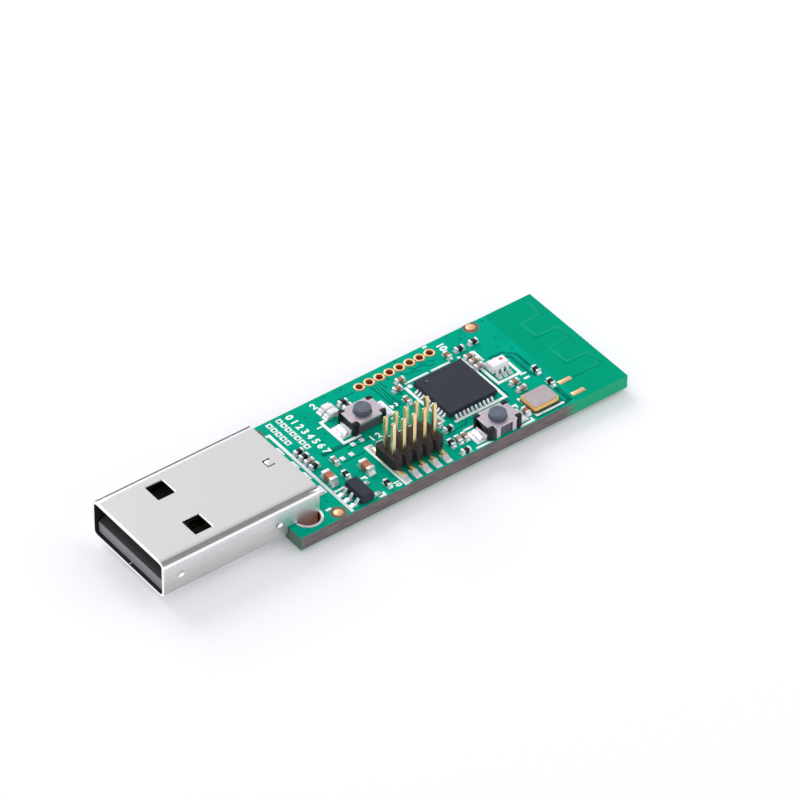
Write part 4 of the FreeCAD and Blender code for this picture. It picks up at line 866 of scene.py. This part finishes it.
# The tongue and its block are one moulding of glass-filled plastic, pushed in from the back.
plug_plastic = new_finish(
    "plug_plastic", (78, 78, 80), (70, 70, 72), 0.3, 0.6, 0.01, specular_ior_level=0.3,
)
# The tongue's front face, which looks out of the mouth, is painted far lighter than the rest of the moulding: painted
# light.
lit_tongue_front = new_finish("tongue_front_painted_light", (150, 150, 152), (136, 136, 138), 0.3, 0.6, 0.01)
tongue = merged_copy("plug_insulator", "plug_tongue_and_block")
tongue.data.materials.append(plug_plastic)
tongue.data.materials.append(lit_tongue_front)
soften(tongue, 0.05)
for face in tongue.data.polygons:
    face.material_index = 1 if face.normal.x < -0.95 and face.center.x < (MOUTH_X + 1.0) * MM else 0
settle(tongue, "insulator_plastic", "plug_insulator")

# Four strips of phosphor bronze, plated with gold where they touch, lie on the tongue and bend down
# behind the plug to their pads.
contact_gold = new_finish(
    "contact_gold", (238, 206, 128), (226, 190, 110), 0.3, 0.22, 0.006, spread=0.1, stretch=(0.2, 1, 1), metallic=1.0,
)
plating_end = (shell_high.x - 2.5) * MM
for contact_name in ("power_contact", "data_contact_far", "data_contact_near", "ground_contact"):
    contact = merged_copy(contact_name, contact_name + "_strip")
    contact.data.materials.append(contact_gold)
    contact.data.materials.append(tin)
    bpy.ops.object.mode_set(mode="EDIT")
    bpy.ops.mesh.select_all(action="SELECT")
    bpy.ops.mesh.bisect(plane_co=(plating_end, 0.0, 0.0), plane_no=(1.0, 0.0, 0.0))
    bpy.ops.object.mode_set(mode="OBJECT")
    for face in contact.data.polygons:
        face.material_index = 0 if face.center.x < plating_end else 1
    soften(contact, 0.03)
    settle(contact, "gold_plate", contact_name)


# Radio chip
# A black epoxy moulding, 6 mm square, with forty tinned lands under its edge and no legs. A laser
# dots its first corner. The type number that the photographed chip carries is left off.
chip_epoxy = new_finish(
    "chip_epoxy", (40, 45, 60), (34, 38, 53), 0.12, 0.5, 0.01, spread=0.12, specular_ior_level=0.3,
)
laser_grey = new_finish("laser_grey", (84, 86, 96), (66, 68, 78), 0.1, 0.6, 0.01)
radio = merged_copy("radio_chip", "radio_chip_moulding")
radio.data.materials.append(chip_epoxy)
soften(radio, 0.05)
settle(radio, "chip_moulding", "radio_chip")


def outer_ends(node):
    """Where each part of a node ends, away from the node's middle along the part's longer side."""
    node_low, node_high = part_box(node)
    middle_of_all = (node_low + node_high) / 2 / MM
    places = []
    for part in loose_parts(node, "part_of_" + node):
        low, high = corners(part)
        middle = (low + high) / 2
        bpy.data.objects.remove(part)
        if high.x - low.x > high.y - low.y and middle.x > middle_of_all.x:
            places.append((high.x, middle.y, PAD_TOP, 0))
        elif high.x - low.x > high.y - low.y:
            places.append((low.x, middle.y, PAD_TOP, 180))
        elif middle.y > middle_of_all.y:
            places.append((middle.x, high.y, PAD_TOP, 90))
        else:
            places.append((middle.x, low.y, PAD_TOP, -90))
    return places


def solder_slope(start, reach, width, rise):
    """A hollow wedge of solder from so high on an end cap, at start, down to the pad's end."""
    bpy.ops.object.select_all(action="DESELECT")
    bpy.ops.mesh.primitive_cube_add(size=1.0)
    wedge = bpy.context.object
    wedge.scale = (reach * MM, width * MM, rise * MM)
    wedge.location = ((start + reach / 2) * MM, 0.0, rise / 2 * MM)
    bpy.ops.object.transform_apply(location=True, rotation=True, scale=True)
    outer = (start + reach * 0.9) * MM
    pick(wedge, "VERT", lambda point: point.x > outer and point.z > rise * 0.9 * MM)
    bpy.ops.transform.translate(value=(0.0, 0.0, -rise * 0.86 * MM))
    bpy.ops.mesh.select_all(action="SELECT")
    middle = (start + reach * 0.45) * MM
    bpy.ops.mesh.bisect(plane_co=(middle, 0.0, 0.0), plane_no=(1.0, 0.0, 0.0))
    bpy.ops.object.mode_set(mode="OBJECT")
    pick(wedge, "VERT", lambda point: abs(point.x - middle) < 0.01 * MM and point.z > rise * 0.3 * MM)
    bpy.ops.transform.translate(value=(0.0, 0.0, -rise * 0.2 * MM))
    bpy.ops.object.mode_set(mode="OBJECT")
    wedge.data.materials.append(tin)
    soften(wedge, 0.03, sharp=60.0)
    return wedge


# In the oven the solder climbs the chip's side at each land, so each one shows as a bright dash.
land_solder = copies_at(solder_slope(-0.02, 0.34, 0.26, 0.34), "land_solder", outer_ends("radio_chip_lands"))
settle(land_solder, "solder")
lands = merged_copy("radio_chip_lands", "radio_chip_soldered_lands")
lands.data.materials.append(tin)
soften(lands, 0.02)
settle(lands, "tinned_leads", "radio_chip_lands")

radio_low, radio_high = (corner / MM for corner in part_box("radio_chip"))
bpy.ops.object.select_all(action="DESELECT")
bpy.ops.mesh.primitive_cylinder_add(vertices=24, radius=0.22 * MM, depth=0.008 * MM)
laser_dot = bpy.context.object
laser_dot.data.materials.append(laser_grey)
laser_dot = copies_at(laser_dot, "laser_dot", [(radio_low.x + 1.11, radio_high.y - 0.73, radio_high.z + 0.003, 0)])
settle(laser_dot, "chip_moulding")


# Regulator and coupler
# The regulator is a small epoxy moulding with five legs bent down to its pads. The coupler is a
# white ceramic block, fired with its tracks inside, with six dark end strips that the solder wets.
regulator = merged_copy("regulator_body", "regulator_moulding")
regulator.data.materials.append(chip_epoxy)
soften(regulator, 0.05)
settle(regulator, "chip_moulding", "regulator_body")
leg_ends = outer_ends("regulator_leads") + outer_ends("coupler_leads")
leg_solder = copies_at(solder_slope(-0.14, 0.42, 0.46, 0.24), "leg_solder", leg_ends)
settle(leg_solder, "solder")
regulator_legs = merged_copy("regulator_leads", "regulator_legs")
regulator_legs.data.materials.append(tin)
soften(regulator_legs, 0.02)
settle(regulator_legs, "tinned_leads", "regulator_leads")

fired_ceramic = new_finish("fired_white_ceramic", (255, 253, 252), (248, 242, 242), 0.2, 0.5, 0.02)
coupler = merged_copy("coupler_body", "coupler_block")
coupler.data.materials.append(fired_ceramic)
soften(coupler, 0.05)
settle(coupler, "white_ceramic", "coupler_body")
coupler_ends = merged_copy("coupler_leads", "coupler_end_strips")
coupler_ends.data.materials.append(tin)
soften(coupler_ends, 0.02)
settle(coupler_ends, "tinned_leads", "coupler_leads")
red_ink = new_finish("red_ink", (232, 108, 112), (222, 92, 98), 0.1, 0.6, 0.004)
coupler_low, coupler_high = (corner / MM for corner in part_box("coupler_body"))
flat_track(
    "coupler_first_end_mark",
    [[(coupler_high.x - MOUTH_X - 0.72, coupler_high.y - 0.55), (coupler_high.x - MOUTH_X - 0.32, coupler_high.y - 0.55)]],
    0.32, 0.01, coupler_high.z, red_ink, "white_ceramic",
)


# Crystal
# A ceramic tray holds the quartz. A gold-plated ring is brazed on it, and a thin lid of
# nickel-iron is welded on the ring to seal it.
tray_ceramic = new_finish("dark_tray_ceramic", (70, 62, 60), (52, 46, 46), 0.2, 0.5, 0.01)
ring_gold = new_finish(
    "crystal_ring_gold", (255, 206, 120), (255, 194, 100), 0.25, 0.3, 0.008, spread=0.12,
)
lid_metal = new_finish(
    "brushed_lid", (202, 190, 192), (190, 179, 182), 0.2, 0.38, 0.006, spread=0.1, stretch=(0.2, 1, 1), metallic=0.9,
)
for crystal_node, crystal_name, crystal_finish, crystal_slot in (
    ("crystal_tray", "crystal_ceramic_tray", tray_ceramic, "crystal_ceramic"),
    ("crystal_ring", "crystal_gold_ring", ring_gold, "gold_plate"),
    ("crystal_lid", "crystal_welded_lid", lid_metal, "lid_metal"),
):
    crystal_piece = merged_copy(crystal_node, crystal_name)
    crystal_piece.data.materials.append(crystal_finish)
    soften(crystal_piece, 0.04)
    settle(crystal_piece, crystal_slot, crystal_node)


# Pin header
# Ten square pins of brass, gold over nickel, are pressed through a row of black plastic cells and
# bent outwards into feet that are soldered to the board.
header_black = new_finish(
    "header_plastic", (50, 44, 46), (36, 32, 35), 0.25, 0.45, 0.02, specular_ior_level=0.3,
)
pin_gold = new_finish(
    "pin_gold", (255, 238, 194), (242, 210, 150), 0.5, 0.2, 0.006, spread=0.12, stretch=(1, 1, 0.25), metallic=1.0,
)
cells = merged_copy("header_body", "header_cells")
cells.data.materials.append(header_black)
soften(cells, 0.05)
settle(cells, "header_plastic", "header_body")
foot_places = []
for row_name, row_side in (("near", -1), ("far", 1)):
    for column in range(1, 6):
        low, high = (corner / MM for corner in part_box(f"{row_name}_pin_{column}"))
        foot_places.append(((low.x + high.x) / 2, high.y if row_side > 0 else low.y, PAD_TOP, 90 * row_side))
foot_solder = copies_at(solder_slope(-0.12, 0.72, 0.62, 0.32), "foot_solder", foot_places)
settle(foot_solder, "solder")
for row_name in ("near", "far"):
    for column in range(1, 6):
        pin_node = f"{row_name}_pin_{column}"
        pin = merged_copy(pin_node, pin_node + "_bent")
        pin.data.materials.append(pin_gold)
        soften(pin, 0.05)
        settle(pin, "pin_gold", pin_node)


# Push buttons
# Each is a black moulded base with a steel cover clinched over its corner posts. Under the cover a
# sprung steel dome snaps when the grey plunger is pushed, and bridges the two terminals.
cover_steel = new_finish(
    "cover_steel", (218, 208, 217), (206, 196, 207), 0.5, 0.28, 0.004, spread=0.1, stretch=(0.3, 1, 1), metallic=0.9,
)
base_black = new_finish(
    "switch_base_plastic", (34, 35, 42), (22, 23, 30), 0.3, 0.45, 0.02, specular_ior_level=0.25,
)
plunger_grey = new_finish("plunger_plastic", (100, 109, 126), (84, 94, 110), 0.5, 0.4, 0.01)
# The middle of each base's near face is painted lighter than the black plastic: painted light.
lit_base = new_finish("switch_base_front_painted_light", (108, 104, 118), (84, 82, 96), 0.3, 0.45, 0.02, specular_ior_level=0.25)
dome_steel = new_finish("dome_steel", (206, 206, 208), (190, 190, 194), 0.3, 0.2, 0.004, metallic=1.0)
for side_name in ("far", "near"):
    base = merged_copy(f"{side_name}_switch_base", f"{side_name}_button_base")
    base.data.materials.append(base_black)
    base.data.materials.append(lit_base)
    base_middle = sum(corner.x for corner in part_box(f"{side_name}_switch_base")) / 2
    soften(base, 0.04)
    for face in base.data.polygons:
        is_front = face.normal.y < -0.95 and abs(face.center.x - base_middle) < 1.4 * MM
        face.material_index = 1 if is_front else 0
    settle(base, "switch_base_plastic", f"{side_name}_switch_base")

    terminal_ends = outer_ends(f"{side_name}_switch_terminals")
    terminal_solder = solder_slope(-0.62, 0.8, 1.5, 0.36)
    settle(copies_at(terminal_solder, f"{side_name}_terminal_solder", terminal_ends), "solder")
    terminals = merged_copy(f"{side_name}_switch_terminals", f"{side_name}_button_terminals")
    terminals.data.materials.append(tin)
    soften(terminals, 0.03)
    settle(terminals, "tinned_leads", f"{side_name}_switch_terminals")

    cover = merged_copy(f"{side_name}_switch_cover", f"{side_name}_button_cover")
    cover.data.materials.append(cover_steel)
    soften(cover, 0.03)
    settle(cover, "cover_steel", f"{side_name}_switch_cover")

    plunger = merged_copy(f"{side_name}_switch_plunger", f"{side_name}_button_plunger")
    plunger.data.materials.append(plunger_grey)
    soften(plunger, 0.08, segments=3)
    settle(plunger, "plunger_plastic", f"{side_name}_switch_plunger", body=f"{side_name}_button")

    dome = merged_copy(f"{side_name}_switch_dome", f"{side_name}_button_dome")
    dome.data.materials.append(dome_steel)
    soften(dome, 0.01)
    settle(dome, "spring_steel", f"{side_name}_switch_dome")
    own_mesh(dome)


# Chips with end caps
# Resistors, capacitors and inductors of one size are blocks of ceramic with a tinned cap at each
# end. In the oven the solder climbs each cap and leaves a hollow slope down to the pad.
brown_ceramic = new_finish("brown_ceramic", (176, 126, 92), (150, 100, 72), 0.2, 0.4, 0.02)
black_glaze = new_finish("black_glaze", (30, 28, 32), (20, 18, 22), 0.2, 0.3, 0.01, specular_ior_level=0.3)
pink_ceramic = new_finish("pink_ceramic", (188, 160, 156), (160, 132, 130), 0.2, 0.4, 0.02)
bulk_brown = new_finish(
    "bulk_capacitor_ceramic", (198, 120, 90), (184, 106, 78), 0.4, 0.4, 0.01, specular_ior_level=0.3,
)


def end_capped_chip(length, width, height, cap, solder_reach, body_finish):
    """A chip at the origin along X, standing on its pads: block, two proud end caps and two slopes."""
    bpy.ops.object.select_all(action="DESELECT")
    bpy.ops.mesh.primitive_cube_add(size=1.0)
    chip = bpy.context.object
    chip.scale = (length * MM, width * MM, height * MM)
    chip.location = (0.0, 0.0, height / 2 * MM)
    bpy.ops.object.transform_apply(location=True, rotation=True, scale=True)
    cap_edge = (length / 2 - cap) * MM
    bpy.ops.object.mode_set(mode="EDIT")
    for side in (-1, 1):
        bpy.ops.mesh.select_all(action="SELECT")
        bpy.ops.mesh.bisect(plane_co=(side * cap_edge, 0.0, 0.0), plane_no=(1.0, 0.0, 0.0))
    bpy.ops.object.mode_set(mode="OBJECT")
    pick(chip, "FACE", lambda point: abs(point.x) < cap_edge * 0.9)
    bpy.ops.mesh.inset(thickness=0.012 * MM, depth=-0.025 * MM)
    bpy.ops.object.mode_set(mode="OBJECT")
    chip.data.materials.append(tin)
    chip.data.materials.append(body_finish)
    for face in chip.data.polygons:
        face.material_index = 1 if abs(face.center.x) < cap_edge * 0.98 else 0
    soften(chip, 0.03, sharp=50.0)
    slopes = []
    for turn in (0.0, math.pi):
        slope = solder_slope(length / 2 - 0.02, solder_reach, width * 0.96, height * 0.62)
        slope.rotation_euler = (0.0, 0.0, turn)
        slopes.append(slope)
    select_only(chip, *slopes)
    bpy.ops.object.join()
    bpy.ops.object.transform_apply(location=True, rotation=True, scale=True)
    return chip


for chips_node, chips_name, chips_finish, chips_slot in (
    ("small_resistors", "black_resistors", black_glaze, "resistor_glaze"),
    ("small_capacitors", "brown_capacitors", brown_ceramic, "capacitor_ceramic"),
    ("small_inductors", "pink_inductors", pink_ceramic, "inductor_ceramic"),
):
    chip_places = []
    chip_size = None
    for part in loose_parts(chips_node, "chip_place"):
        low, high = corners(part)
        size = high - low
        chip_size = (max(size.x, size.y), min(size.x, size.y), size.z)
        chip_places.append(((low.x + high.x) / 2, (low.y + high.y) / 2, low.z, 0 if size.x > size.y else 90))
        bpy.data.objects.remove(part)
    master = end_capped_chip(*chip_size, cap=0.24, solder_reach=0.17, body_finish=chips_finish)
    chips = copies_at(master, chips_name, chip_places)
    settle(chips, chips_slot, chips_node)

for bulk_node, bulk_name in (
    ("front_bulk_capacitor", "front_brown_capacitor"),
    ("rear_bulk_capacitor", "rear_brown_capacitor"),
):
    low, high = (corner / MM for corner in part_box(bulk_node))
    size = high - low
    bulk_chip = end_capped_chip(size.y, size.x, size.z, cap=0.36, solder_reach=0.3, body_finish=bulk_brown)
    bulk = copies_at(bulk_chip, bulk_name, [((low.x + high.x) / 2, (low.y + high.y) / 2, low.z, 90)])
    settle(bulk, "bulk_ceramic", bulk_node)


# Status lights
# A white ceramic seat carries each light-emitting die under a block of clear resin, with a tinned
# cap at each end. Unlit, they look milky with a faint tint of their own.
light_seat = new_finish("light_seat_ceramic", (240, 238, 240), (226, 222, 228), 0.2, 0.45, 0.02)
for light_name, light_tint in (("far", (255, 252, 254)), ("near", (250, 255, 252))):
    milky_resin = new_finish(
        f"{light_name}_light_resin", light_tint, (240, 240, 244), 0.3, 0.3, 0.01,
    )
    low, high = (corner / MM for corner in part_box(f"{light_name}_status_light"))
    middle = ((low.x + high.x) / 2, (low.y + high.y) / 2)
    length, width, height = high - low
    seat = end_capped_chip(length, width, height * 0.5, cap=0.3, solder_reach=0.24, body_finish=light_seat)
    bpy.ops.object.select_all(action="DESELECT")
    bpy.ops.mesh.primitive_cube_add(size=1.0)
    lens = bpy.context.object
    lens.scale = ((length - 0.62) * MM, (width - 0.04) * MM, height * 0.55 * MM)
    lens.location = (0.0, 0.0, height * 0.725 * MM)
    bpy.ops.object.transform_apply(location=True, rotation=True, scale=True)
    pick(lens, "FACE", lambda point: point.z > height * 0.9 * MM)
    bpy.ops.transform.resize(value=(0.92, 0.94, 1.0))
    bpy.ops.object.mode_set(mode="OBJECT")
    lens.data.materials.append(milky_resin)
    soften(lens, 0.04)
    select_only(seat, lens)
    bpy.ops.object.join()
    light = copies_at(seat, f"{light_name}_light_with_lens", [(*middle, low.z, 0)])
    settle(light, "light_resin", f"{light_name}_status_light")


# Sizes of the dressed model: the lowest and highest corner of all its pieces
low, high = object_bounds()
